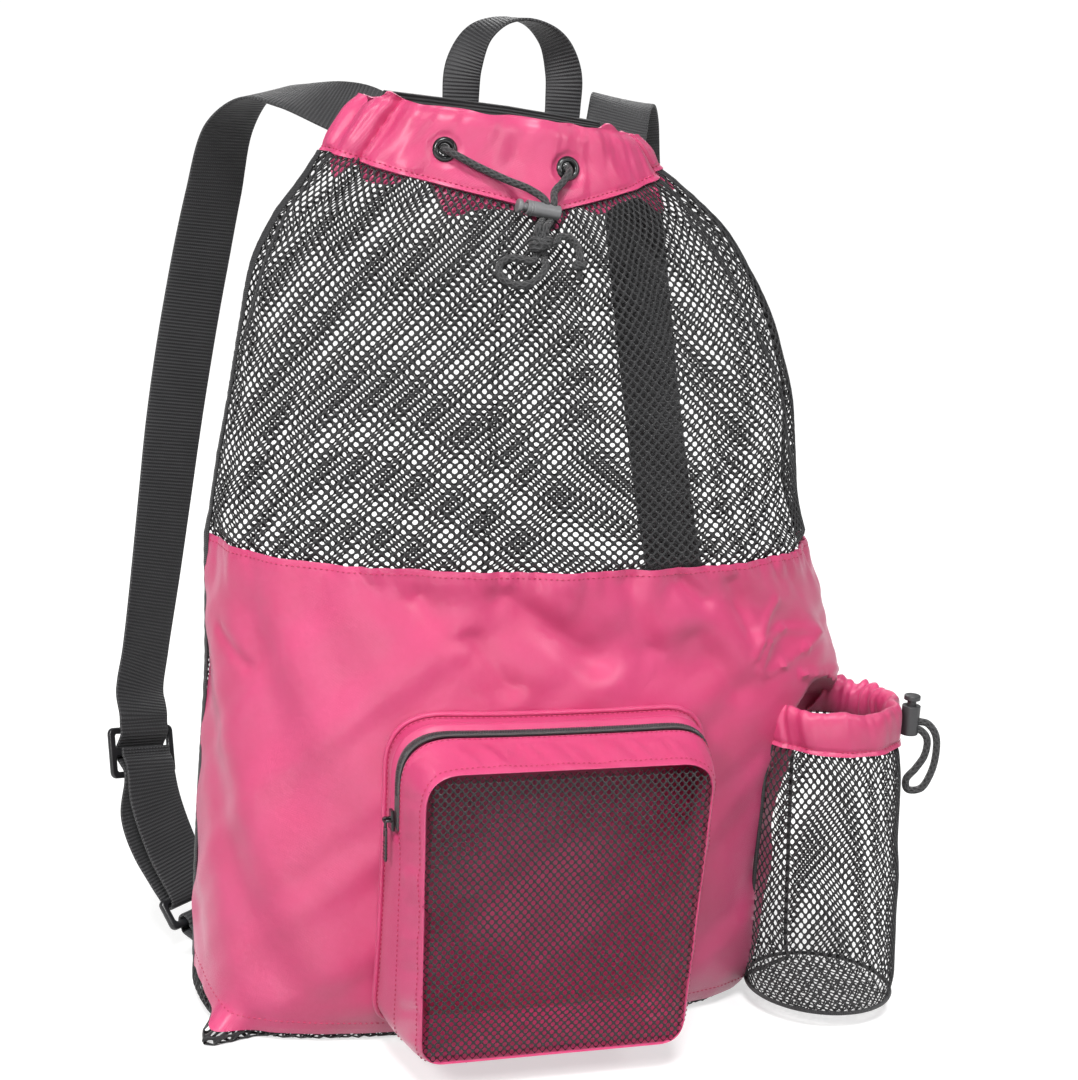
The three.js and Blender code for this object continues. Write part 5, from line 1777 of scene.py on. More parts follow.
@dataclass
class Carrying:
    """Shoulder straps with sliders, rings and anchors, and the grab handle."""

    form: BagForm
    strap: Webbing = field(default_factory=lambda: Webbing(38, 1.8))
    handle: Webbing = field(default_factory=lambda: Webbing(22, 1.8, 1.6))
    anchor: Webbing = field(default_factory=lambda: Webbing(30, 1.6, 1.6))
    gap: float = 0.5
    bar: float = 4.0
    slot: float = 9.5
    slot_wide: float = 42.0
    slider_thick: float = 3.2
    slider_side: float = 4.5
    ring_bar: float = 4.5
    ring_gap: float = 11.0
    ring_wide: float = 41.0
    ring_thick: float = 4.5
    ring_bend: float = 4.6
    anchor_low: float = 9.0
    anchor_high: float = 18.5
    anchor_over: float = 4.5
    anchor_inner: float = 1.6
    anchor_outer: float = 3.8
    # middle of the handle and the webbing's turn about it
    handle_rows: Table = (
        (-26, 83, 496, 90), (-27, 84, 512, 90), (-28, 85.5, 530, 84), (-27, 86, 548, 62),
        (-19, 86, 566, 30), (-4, 86, 575, 6), (12, 86, 575, -6), (27, 86, 565, -30), (35, 86, 547, -62),
        (36, 85.5, 529, -84), (35, 84, 511, -90), (34, 83, 496, -90),
    )
    ends: tuple[StrapEnd, ...] = (
        StrapEnd(
            Side.LEFT,
            (
                (-57, 82, 488, 0.85, 0.12, 0.52), (-68, 83, 504, 0.8, 0.12, 0.6),
                (-84, 87, 515, 0.72, 0.2, 0.68), (-102, 96, 521, 0.62, 0.45, 0.62),
                (-120, 112, 524, 0.6, 0.7, 0.35), (-138, 133, 522, 0.72, 0.68, 0.1),
                (-151, 151, 502, 0.88, 0.46, 0), (-157, 163, 460, 0.96, 0.28, 0),
                (-163, 171, 413, 0.98, 0.2, 0), (-169, 174, 366, 0.98, 0.2, 0),
                (-174.5, 174, 318, 0.97, 0.25, 0), (-179.5, 170, 270, 0.93, 0.36, 0),
                (-185.5, 161, 222, 0.88, 0.47, 0), (-192.5, 148, 178, 0.82, 0.57, 0),
                (-197, 136.5, 156, 0.79, 0.61, 0.04),
            ),
            (-197, 121, 121), (0.8, 0.58, 0.1), (0.05, -0.36, -0.93),
            -0.8,
            (-168, 84, 34), (0.88, 0.48, 0), (0.4, -0.5, -0.77),
            ((-196, 112.5, 83.5), (-188, 105, 59)),
            ((-181.5, 96, 67), (-191, 105.5, 95)),
            -130,
        ),
        StrapEnd(
            Side.RIGHT,
            (
                (63, 77, 486, 0.92, -0.38, -0.1), (67, 79, 502, 0.92, -0.38, -0.12),
                (72, 87, 518, 0.96, -0.25, -0.14), (78, 99, 530, 1, -0.15, -0.14),
                (87, 116, 531, 0.98, -0.15, -0.14), (98, 134, 517, 0.98, -0.15, -0.1),
                (108, 149, 487, 0.98, -0.15, 0), (120, 162, 444, 0.98, -0.17, 0),
                (132, 170, 396, 0.98, -0.2, 0), (143, 174, 346, 0.98, -0.2, 0),
                (153, 173, 296, 0.97, -0.25, 0), (162, 168, 248, 0.93, -0.36, 0),
                (170.5, 159, 206, 0.88, -0.47, 0), (178, 148, 176, 0.82, -0.57, 0),
                (183, 136.5, 154, 0.79, -0.61, -0.04),
            ),
            (183, 121, 119), (0.8, -0.58, -0.1), (-0.05, -0.36, -0.93),
            0.8,
            (155, 84, 34), (0.88, -0.48, 0), (-0.4, -0.5, -0.77),
            ((182, 112.5, 81.5), (174, 105, 57)),
            ((167.5, 96, 65), (177, 105.5, 93)),
            130,
        ),
    )

    def fitting(self, at: Sequence[float], across: Sequence[float], down: Sequence[float]) -> Axes:
        """Give a fitting's frame: across the webbing, down along it and out of its back."""
        along = unit(np.array(down, float))
        wide = np.array(across, float)
        wide = unit(wide - along * float(wide @ along))
        return Axes(np.array(at, float), wide, along, np.cross(wide, along))

    def row(self, axes: Axes, down: float, out: float) -> Row:
        """Give a row of webbing at a fitting."""
        return axes.spot(0, down, -out), axes.x

    def round_bar(self, axes: Axes, bar: float, way: float) -> list[Row]:
        """Give the rows of webbing that turn round a bar."""
        made = []
        for turn in np.radians((-90, -45, 0, 45, 90)):
            down = bar + way * self.ring_bend * math.cos(turn)
            made.append(self.row(axes, down, self.ring_bend * math.sin(turn)))
        return made

    def fittings(self, end: StrapEnd, slider: Axes, ring: Axes, shop: Workshop) -> None:
        """Mould the slider and the ring of one strap.

        Args:
            end: The strap's places.
            slider: Frame of the slider.
            ring: Frame of the ring.
            shop: The workshop.
        """
        inner, outer = self.bar / 2, self.bar / 2 + self.slot
        wide, tall = self.slot_wide + 2 * self.slider_side, 2 * (outer + self.bar)
        moved = slider.shifted(end.slider_shift, 0, 0)
        outlines = [
            rectangle(-wide / 2, -tall / 2, wide, tall, 4.0),
            rectangle(-self.slot_wide / 2, -outer, self.slot_wide, self.slot, 1.6),
            rectangle(-self.slot_wide / 2, inner, self.slot_wide, self.slot, 1.6),
        ]
        name = "slider_" + end.side.value
        made = plate(name + "_frame", outlines, self.slider_thick, 1.1, moved)
        shop.dress(made, Look.PLASTIC, [name])
        wide, tall = self.ring_wide + 2 * self.slider_side, self.ring_gap + 2 * self.ring_bar
        outlines = [
            rectangle(-wide / 2, -tall / 2, wide, tall, 3.5),
            rectangle(-self.ring_wide / 2, -self.ring_gap / 2, self.ring_wide, self.ring_gap, 1.8),
        ]
        name = "ring_" + end.side.value
        made = plate(name + "_frame", outlines, self.ring_thick, 1.7, ring)
        shop.dress(made, Look.PLASTIC, [name])

    def strap_rows(self, end: StrapEnd, slider: Axes, ring: Axes) -> list[Row]:
        """Give the rows of one strap, from the yoke to the sewn end on the slider.

        Args:
            end: The strap's places.
            slider: Frame of the slider.
            ring: Frame of the ring.

        Returns:
            Middle points and directions across.
        """
        inner, outer = self.bar / 2, self.bar / 2 + self.slot
        clear = self.slider_thick / 2 + self.strap.thick / 2 + self.gap
        middle = (inner + outer) / 2
        beyond = outer + self.bar + 1.5
        low_bar = (self.ring_gap + self.ring_bar) / 2
        rows = [(np.array(row[:3], float), np.array(row[3:], float)) for row in end.rows]
        upper = (-beyond - 5, -beyond, -outer + 0.3, -middle, -inner - 0.3)
        downs = (*upper, inner + 0.3, middle, outer - 0.3, beyond)
        outs = (clear + 0.4, clear, clear, 0, -clear, -clear, 0, clear, clear)
        rows += [self.row(slider, down, out) for down, out in zip(downs, outs)]
        rows += [(np.array(at, float), slider.x) for at in end.back_run]
        rows += self.round_bar(ring, -low_bar, 1)
        rows += [(np.array(at, float), ring.x) for at in end.front_run]
        downs = (outer + 2, middle - 1, inner, -inner - 0.8)
        outs = (clear + 3.2, clear + 2, clear, clear)
        return rows + [self.row(slider, down, out) for down, out in zip(downs, outs)]

    def anchor_rows(self, end: StrapEnd, ring: Axes) -> list[Row]:
        """Give the rows of the tab that holds a ring.

        Args:
            end: The strap's places.
            ring: Frame of the ring.

        Returns:
            Middle points and directions across.
        """
        angle = np.array(math.radians(end.anchor_angle))
        out = self.form.normal(angle, np.array(self.anchor_high))
        across = unit(np.cross(Z_WAY, out))
        across = across * np.sign(across @ ring.x)
        low_bar = (self.ring_gap + self.ring_bar) / 2

        def sewn(z: float, off: float) -> Row:
            """Give a row that is sewn to the bag."""
            return self.form.point(angle, np.array(z)) + out * off, across

        rows = [sewn(self.anchor_low, self.anchor_outer), sewn(self.anchor_high, self.anchor_outer)]
        rows.append(self.row(ring, low_bar + self.ring_bar, -self.ring_bend))
        rows += self.round_bar(ring, low_bar, -1)
        rows.append(self.row(ring, low_bar + self.ring_bar, self.ring_bend))
        rows.append(sewn(self.anchor_high + self.anchor_over, self.anchor_inner))
        rows.append(sewn(self.anchor_low, self.anchor_inner))
        return rows

    def bartack(self, axes: Axes, out: float, downs: Sequence[float], half: float) -> Surface:
        """Sew rows of stitches across the webbing at a fitting.

        Args:
            axes: Frame of the fitting.
            out: Distance of the webbing's face.
            downs: Places of the rows.
            half: Half the length of a row.

        Returns:
            The stitches.
        """
        rows = []
        for down in downs:
            line = np.array([axes.spot(x, down, -out) for x in np.linspace(-half, half, 12)])
            rows.append(Thread(2.4, 0.8, 0.7, 0.45).row(line, np.tile(-axes.z, (12, 1))))
        return joined(rows)

    def build(self, shop: Workshop) -> None:
        """Make straps, fittings, anchors and handle."""
        for end in self.ends:
            slider = self.fitting(end.slider_at, end.slider_across, end.slider_down)
            ring = self.fitting(end.ring_at, end.ring_across, end.ring_down)
            self.fittings(end, slider, ring, shop)
            name = "strap_" + end.side.value
            band = self.strap.along(self.strap_rows(end, slider, ring)).build(name + "_band")
            shop.dress(band, Look.WEBBING, [name])
            clear = self.slider_thick / 2 + self.strap.thick + self.gap
            tack = self.bartack(slider, clear, (-1.4, 0.4, 2.2), self.strap.width / 2 - 2)
            shop.dress(tack.build(name + "_stitches"), Look.BLACK_THREAD)
            name = "anchor_" + end.side.value
            tab = self.anchor.along(self.anchor_rows(end, ring)).build(name + "_band")
            shop.dress(tab, Look.WEBBING, [name])
        points = np.array([row[:3] for row in self.handle_rows], float)
        rows = []
        for i, row in enumerate(self.handle_rows):
            ahead = unit(points[min(i + 1, len(points) - 1)] - points[max(i - 1, 0)])
            turn = math.radians(row[3])
            across = Y_WAY * math.cos(turn) + np.cross(ahead, Y_WAY) * math.sin(turn)
            rows.append((points[i], across + ahead * float(ahead @ Y_WAY) * (1 - math.cos(turn))))
        band = self.handle.along(rows).build("handle_band")
        shop.dress(band, Look.WEBBING, ["grab_handle"])


# Bag body


@dataclass
class BagBody:
    """Pink panel, nets, collar, yoke and bindings."""

    form: BagForm
    eyelets: list[Axes]
    cloth: float = 1.2
    edge: float = math.radians(0.9)
    yoke_half: float = math.radians(52)
    binding_half: float = math.radians(1.9)
    yoke_rise: float = 4.0
    tuck: float = 6.0
    back_lap: float = 0.016
    net: Net = field(default_factory=Net)
    stitch: Thread = field(default_factory=Thread)
    panel_columns: int = 236
    panel_rows: int = 90
    eyelet_hole: float = 5.3
    # flat sizes of the cloth in metres, and of the nets in millimetres
    panel_cut: tuple[float, float] = (0.48, 0.295)
    collar_cut: tuple[float, float] = (0.45, 0.052)
    yoke_cut: tuple[float, float] = (0.16, 0.034)
    front_cut: tuple[float, float] = (462.0, 214.0)
    back_long: float = 500.0
    # cloth of the base beyond its edge, and its cut as shares of what the net is spread over
    base_spare: float = 34.0
    base_cut: tuple[float, float] = (0.95, 0.85)
    pressed: float = 0.6
    press_reach: float = 11.5
    # from angle and height, to angle and height, depth of the valley, half width
    drapes: Table = (
        (-11, 269, 4.5, 232, 2.6, 7.5), (-17.5, 245, -10.5, 219, 2, 6.5),
        (32.5, 273, 34.5, 244, 1.7, 4.5), (21, 276, 25.5, 264, 1.4, 4.5), (10, 276, 14.5, 238, 1.6, 6),
        (-75.5, 235, -64, 219, 0.9, 4), (-27, 267, -21.5, 246, 1.3, 6), (23.5, 242, 30, 211, 1.5, 7),
        (35, 222, 38.5, 236, -1, 2.2), (38.5, 236, 44, 241, -1, 2.2), (44, 241, 56, 236, -1, 2.2),
        (57, 235, 49.5, 228, -1, 2.2), (49.5, 228, 41, 222, -1, 2.2), (41, 222, 35.5, 218, -1, 2.2),
        (43, 259, 36.5, 238, -0.9, 2.2), (36.5, 238, 34, 229, -0.9, 2.2), (89, 198, 46, 213, -0.8, 2.2),
        (46, 213, 88, 182, -0.8, 2.2),
    )
    # angle and height of the corners that stand up on the collar's top edge
    peaks: Table = ((-60.0, 4.0), (36.0, 4.0), (-75.0, -3.0), (54.0, -3.0))
    hem_wave: Wave = Wave(0.35, 21.0, 4.2)
    panel_slack: Wave = Wave(2.0, 66.0, 2.4)
    panel_cross: Wave = Wave(1.1, 47.0, 5.0)
    front_gather: Wave = Wave(0.9, 17.0, 3.3)
    front_slack: Wave = Wave(1.3, 70.0, 0.9)
    back_sag: Wave = Wave(1.6, 95.0, 5.1)
    collar_soft: Wave = Wave(1.8, 52.0, 0.6)
    collar_cross: Wave = Wave(0.3, 17.0, 2.2)
    collar_fray: Wave = Wave(0.8, 48.0, 1.9)
    facing_edge: Wave = Wave(8.0, 52.0, 2.7)
    yoke_wave: Wave = Wave(0.3, 40.0, 0.3)
    binding_wave: Wave = Wave(0.18, 9.0, 2.0)
    # rows of stitches: below the upper seam, over the hem and over the collar's base
    seam_row: float = 3.4
    hem_row: float = 8.5
    collar_row: float = 2.6
    # angle, slope, way, depth and fade of the laps at both sides of the collar
    laps: Table = ((-56.0, 0.11, -1.0, 4.6, 12.0), (61.0, -0.08, 1.0, 3.6, 11.0))
    lap_z: float = 500.0
    pucker_seed: int = 5
    pucker_pitch: float = 9.5
    pucker_from: float = -92.0

    def puckers(self, along: Array, below: Array) -> Array:
        """Give the short tucks that the upper seam pulls into the panel."""
        draw = np.random.default_rng(self.pucker_seed)
        total = np.zeros_like(along)
        half = self.form.mm_per_radian * QUARTER
        for place in np.arange(-half, half, self.pucker_pitch):
            shift, deep, long, slant = draw.uniform((-3.5, 1.0, 9, -0.1), (3.5, 2.8, 28, 0.5))
            weak = 0.3 if place < self.pucker_from else 1.0
            away = (along - place - shift - slant * below) / (2.6 + 0.11 * below)
            total -= weak * deep * np.exp(-(away**2) - (below / long) ** 2)
        return total

    def panel_lift(self, angle: Array, z: Array) -> Array:
        """Give the panel's folds: tucks under its upper seam, drapes and a puckered hem."""
        along = angle * self.form.mm_per_radian
        below = self.form.seam - z
        lip = -0.9 * bell(below, 1.6)
        seam = -0.45 * bell(below - self.seam_row, 1.3)
        over_hem = z - self.form.hem_height(angle)
        hem = self.hem_wave.at(along) * bell(over_hem, 14.0)
        hem -= 0.5 * bell(over_hem - 9.0, 1.5)
        slack = self.panel_slack.at(along + 0.6 * z) + self.panel_cross.at(along - 0.9 * z)
        slack *= smooth(below / 40) * smooth(over_hem / 40)
        drape = 1.85 * valleys(self.drapes, angle, z, self.form.mm_per_radian)
        return self.puckers(along, below) + 0.5 + lip + seam + hem + slack + drape

    def panel(self, shop: Workshop) -> None:
        """Sew the pink lower front."""
        form = self.form
        angles = form.even_angles(-QUARTER + self.edge, QUARTER - self.edge)
        u = np.linspace(0, 1, self.panel_columns + 1)[:, None]
        share = np.linspace(0, 1, self.panel_rows + 1)[None, :]
        v = mix(share, 1 - (1 - share) ** 2, 0.35)
        angle = np.broadcast_to(angles(u), (u.size, v.size))
        low = form.hem_height(angle)
        z = mix(low, form.seam, v)
        outer = form.point(angle, z, self.panel_lift(angle, z))
        made = shell(outer, self.cloth)
        piece = shop.dress(made.build("front_panel_cloth"), Look.PINK, ["front_panel"])
        lines = []
        turn = angles(np.linspace(0.004, 0.996, 260))
        for height, over in ((form.seam - self.seam_row, False), (self.hem_row, True)):
            level = form.hem_height(turn) + height if over else np.full_like(turn, height)
            line = form.point(turn, level, self.panel_lift(turn, level) + 0.05)
            lines.append(self.stitch.row(line, form.normal(turn, level)))
        sewn = shop.dress(joined(lines).build("front_panel_stitches"), Look.PINK_THREAD)
        area = grid_area(outer)

    def front_net(self, shop: Workshop) -> None:
        """Knit the net upper front, gathered under the collar."""
        form = self.form
        angles = form.even_angles(-QUARTER, QUARTER)

        def maker(u: Array, v: Array) -> Array:
            """Give points of the net."""
            angle = angles(u)
            low, high = form.seam - self.tuck, form.collar_base(angle) + self.tuck
            z = mix(low, high, v)
            above = z - form.seam
            below = form.collar_base(angle) - z
            along = angle * form.mm_per_radian
            gathered = self.front_gather.at(along) * bell(np.maximum(below, 0), 34.0)
            slack = self.front_slack.at(along - 0.7 * z) * smooth(above / 40) * smooth(below / 40)
            tucked = -5.4 + 4.8 * smooth((above + 3) / 9) * smooth((below + 6) / 12)
            return form.point(angle, z, tucked + gathered * smooth(below / 8) + slack)

        self.net.sew(shop, "front_net", ["front_mesh"], maker, self.front_cut)

    def back_net(self, shop: Workshop) -> None:
        """Knit the net back in two halves."""
        form = self.form
        lap = self.back_lap
        halves = ((Side.RIGHT, QUARTER, math.pi + lap), (Side.LEFT, math.pi - lap, 3 * QUARTER))
        for side, begin, end in halves:
            angles = form.even_angles(begin, end)

            def maker(u: Array, v: Array, angles: Callable[[Array], Array] = angles) -> Array:
                """Give points of the net."""
                angle = wrapped(angles(u))
                low, high = form.hem_height(angle) - 1.0, form.collar_base(angle) + self.tuck
                z = mix(low, high, v)
                below = form.collar_base(angle) - z
                along = angles(u) * form.mm_per_radian
                sag = self.back_sag.at(along + 0.35 * z) * smooth((z - 30) / 60) * smooth(below / 60)
                tucked = -2.2 + 1.6 * smooth((below + 2) / 9) * smooth((z - low + 1) / 7)
                return form.point(angle, z, tucked + sag)

            edge = np.linspace(0, 1, 200)
            line = form.point(wrapped(angles(edge)), np.full(200, form.seam))
            width = float(np.linalg.norm(np.diff(line, axis=0), axis=1).sum())
            nodes = ["back_mesh"] if side is Side.RIGHT else []
            self.net.sew(shop, "back_net_" + side.value, nodes, maker, (width, self.back_long))

    def base_net(self, shop: Workshop) -> None:
        """Knit the net base, which turns up under the hems."""
        form = self.form
        left, right, ahead, behind, seam, square = (float(size) for size in form.sections[0][1:])
        spare = self.base_spare
        width, depth = left + right + 2 * spare, ahead + behind + 2 * spare
        centre = np.array([0.0, seam, 0.0])

        def flat(u: Array, v: Array) -> tuple[Array, Array]:
            """Give angle and share of the way out for places on the flat cut."""
            x = u * width - left - spare
            y = (1 - v) * depth - ahead - spare
            side = np.where(x < 0, left, right)
            deep = np.where(y < 0, ahead, behind)
            share = (np.abs(x / side) ** square + np.abs(y / deep) ** square) ** (1 / square)
            return np.arctan2(x / side, -y / deep), share

        def height(angle: Array, share: Array) -> Array:
            """Give how far places have turned up the wall."""
            edge = form.point(angle, np.zeros_like(angle)) - centre
            return (share - 1) * np.linalg.norm(edge, axis=-1)

        def maker(u: Array, v: Array) -> Array:
            """Give points of the base."""
            angle, share = flat(u, v)
            edge = form.point(angle, np.zeros_like(angle), -0.9)
            ground = centre + (edge - centre) * np.minimum(share, 1.0)[..., None]
            up = np.maximum(height(angle, share), 0.0)
            inward = -0.9 - 0.9 * smooth((up - form.hem_height(angle) + 4) / 4)
            wall = form.point(angle, np.minimum(up, 45.0), inward)
            made = np.where((share > 1)[..., None], wall, ground)
            made[..., 2] += 0.7
            return made

        def keep(u: Array, v: Array) -> Array:
            """Keep what lies below the hems."""
            angle, share = flat(u, v)
            return height(angle, share) < form.hem_height(angle) + 1.0

        flat_cut = (width * self.base_cut[0], depth * self.base_cut[1])
        self.net.sew(shop, "base_net", ["base_mesh"], maker, (width, depth), keep, flat_cut)

    def collar_lift(self, angle: Array, z: Array) -> Array:
        """Give the folds of the collar: tunnel, rolled top and the laps at both sides."""
        form = self.form
        along = angle * form.mm_per_radian
        from_base = z - form.collar_base(angle)
        from_top = form.collar_top(angle) - z
        tunnel = 1.9 * smooth(from_base / 12) * smooth(from_top / 9)
        roll = -1.6 * bell(from_top, 2.6)
        sewn = -0.5 * bell(from_base - self.collar_row, 1.4)
        soft = self.collar_soft.at(along + 0.35 * z) + self.collar_cross.at(along - 0.5 * z)
        lap = np.zeros_like(along)
        for place, slope, way, deep, fade in self.laps:
            beyond = way * (np.degrees(angle) - place - slope * (z - self.lap_z))
            lap -= deep * smooth(beyond / 1.4) * np.exp(-np.maximum(beyond, 0) / fade)
            lap += 0.9 * bell(beyond, 1.6)
        lift = tunnel + roll + sewn + soft * smooth(from_base / 5) + lap
        for axes in self.eyelets:
            away = np.linalg.norm(form.point(angle, z) - axes.origin, axis=-1)
            lift = mix(lift, self.pressed, smooth((self.press_reach - away) / 4))
        return lift

    def collar(self, shop: Workshop) -> None:
        """Sew the pink drawstring collar, open at its eyelets."""
        form = self.form
        reach = math.pi - self.yoke_half - math.radians(0.5)
        u = np.linspace(0, 1, 331)[:, None]
        v = np.linspace(0, 1, 37)[None, :]
        angle = np.broadcast_to(mix(-reach, reach, u), (u.size, v.size))
        fray = self.collar_fray.at(angle * form.mm_per_radian)
        for place, tall in self.peaks:
            fray = fray + tall * bell(np.degrees(angle) - place, 5.0)
        z = mix(form.collar_base(angle) + 0.4, form.collar_top(angle) + fray, v)
        outer = form.point(angle, z, self.collar_lift(angle, z))
        middles = cells(outer)
        gone = np.zeros(middles.shape[:2], bool)
        for axes in self.eyelets:
            gone |= np.linalg.norm(middles - axes.origin, axis=-1) < self.eyelet_hole
        made = shell(outer, 1.5, gone)
        piece = shop.dress(made.build("collar_cloth"), Look.PINK, ["collar"])
        turn = np.linspace(-reach, reach, 420)
        level = form.collar_base(turn) + self.collar_row
        line = form.point(turn, level, self.collar_lift(turn, level) + 0.05)
        row = self.stitch.row(line, form.normal(turn, level))
        sewn = shop.dress(row.build("collar_stitches"), Look.PINK_THREAD)
        turn = np.broadcast_to(np.linspace(-1.35, 1.35, 181)[:, None], (181, 9))
        deep = 6.0 + self.facing_edge.at(turn * form.mm_per_radian)
        base = form.collar_base(turn)
        level = mix(base - deep, base + 4.0, np.linspace(0, 1, 9)[None, :])
        strip = shell(form.point(turn, level, -4.6), 0.8).build("collar_facing")
        facing_piece = shop.dress(strip, Look.PINK)
        area = grid_area(outer)

    def yoke(self, shop: Workshop) -> None:
        """Sew the black tape along the back of the mouth."""
        form = self.form
        begin = math.pi - self.yoke_half + math.radians(0.5)
        u = np.linspace(0, 1, 121)[:, None]
        v = np.linspace(0, 1, 25)[None, :]
        turn = np.broadcast_to(mix(begin, TURN - begin, u), (u.size, v.size))
        angle = wrapped(turn)
        low = form.collar_base(angle) + 0.4
        high = form.collar_top(turn) + self.yoke_rise
        z = mix(low, high, v)
        rim = bell(high - z, 2.0) + bell(z - low, 2.0)
        outer = form.point(angle, z, 0.5 - 0.7 * rim + self.yoke_wave.at(turn * form.mm_per_radian))
        piece = shell(outer, 1.5).build("yoke_tape")
        shop.dress(piece, Look.WEBBING, ["back_yoke"])
        line_turn = np.linspace(begin + 0.02, TURN - begin - 0.02, 200)
        rows = []
        low = form.collar_base(wrapped(line_turn))
        for level in (low + 3.2, form.collar_top(line_turn) + self.yoke_rise - 3.2):
            line = form.point(wrapped(line_turn), level, 0.55)
            rows.append(Thread(3.0, 0.7, 0.7, 0.5).row(line, form.normal(wrapped(line_turn), level)))
        shop.dress(joined(rows).build("yoke_stitches"), Look.BLACK_THREAD)
        area = grid_area(outer)

    def bindings(self, shop: Workshop) -> None:
        """Sew the narrow black tape over each side seam, from hem to collar."""
        form = self.form
        for side, middle in ((Side.LEFT, -QUARTER), (Side.RIGHT, QUARTER)):
            u = np.linspace(-1, 1, 13)[:, None]
            base = float(form.hem_height(np.array(middle)))
            top = float(form.collar_base(np.array(middle)))
            z = np.broadcast_to(np.linspace(base - 1.0, top + 0.3, 190)[None, :], (13, 190))
            angle = np.broadcast_to(middle + self.binding_half * u, z.shape)
            bulge = 1.0 - 0.9 * np.broadcast_to(u, z.shape) ** 4 + self.binding_wave.at(z)
            piece = shell(form.point(angle, z, bulge), 0.9).build("side_binding_" + side.value)
            shop.dress(piece, Look.TAPE)

    def build(self, shop: Workshop) -> None:
        """Make the whole body."""
        self.panel(shop)
        self.front_net(shop)
        self.back_net(shop)
        self.base_net(shop)
        self.collar(shop)
        self.yoke(shop)
        self.bindings(shop)


# Front pocket


@dataclass
class Outline:
    """Rounded outline of the pocket, seen from the front, read by a share of its length."""

    left: float
    right: float
    bottom: float
    top: float
    taper: float
    top_corner: float
    bottom_corner: float

    def line(self) -> Array:
        """Draw the outline from the middle of its lower side, to the right and round."""
        left, right, bottom, top = self.left, self.right, self.bottom, self.top
        low_left, low_right = left + self.taper, right - self.taper
        middle = (left + right) / 2
        lean = self.taper / (top - bottom)
        high, low = self.top_corner, self.bottom_corner
        corners = (
            ((low_right - low, bottom), (low_right, bottom), (low_right + lean * low, bottom + low)),
            ((right - lean * high, top - high), (right, top), (right - high, top)),
            ((left + high, top), (left, top), (left + lean * high, top - high)),
            ((low_left - lean * low, bottom + low), (low_left, bottom), (low_left + low, bottom)),
        )
        points = [np.array([middle, bottom])]
        for a, b, c in np.array(corners, float):
            for t in np.linspace(0, 1, 60):
                points.append((1 - t) ** 2 * a + 2 * t * (1 - t) * b + t * t * c)
        points.append(np.array([middle, bottom]))
        return np.array(points)

    def reader(self) -> Callable[[Array], Array]:
        """Give a function from a share of the length to a point."""
        line = self.line()
        run = run_along(line)
        run /= run[-1]
        return lambda share: np.stack([np.interp(np.mod(share, 1.0), run, line[:, k]) for k in range(2)], -1)


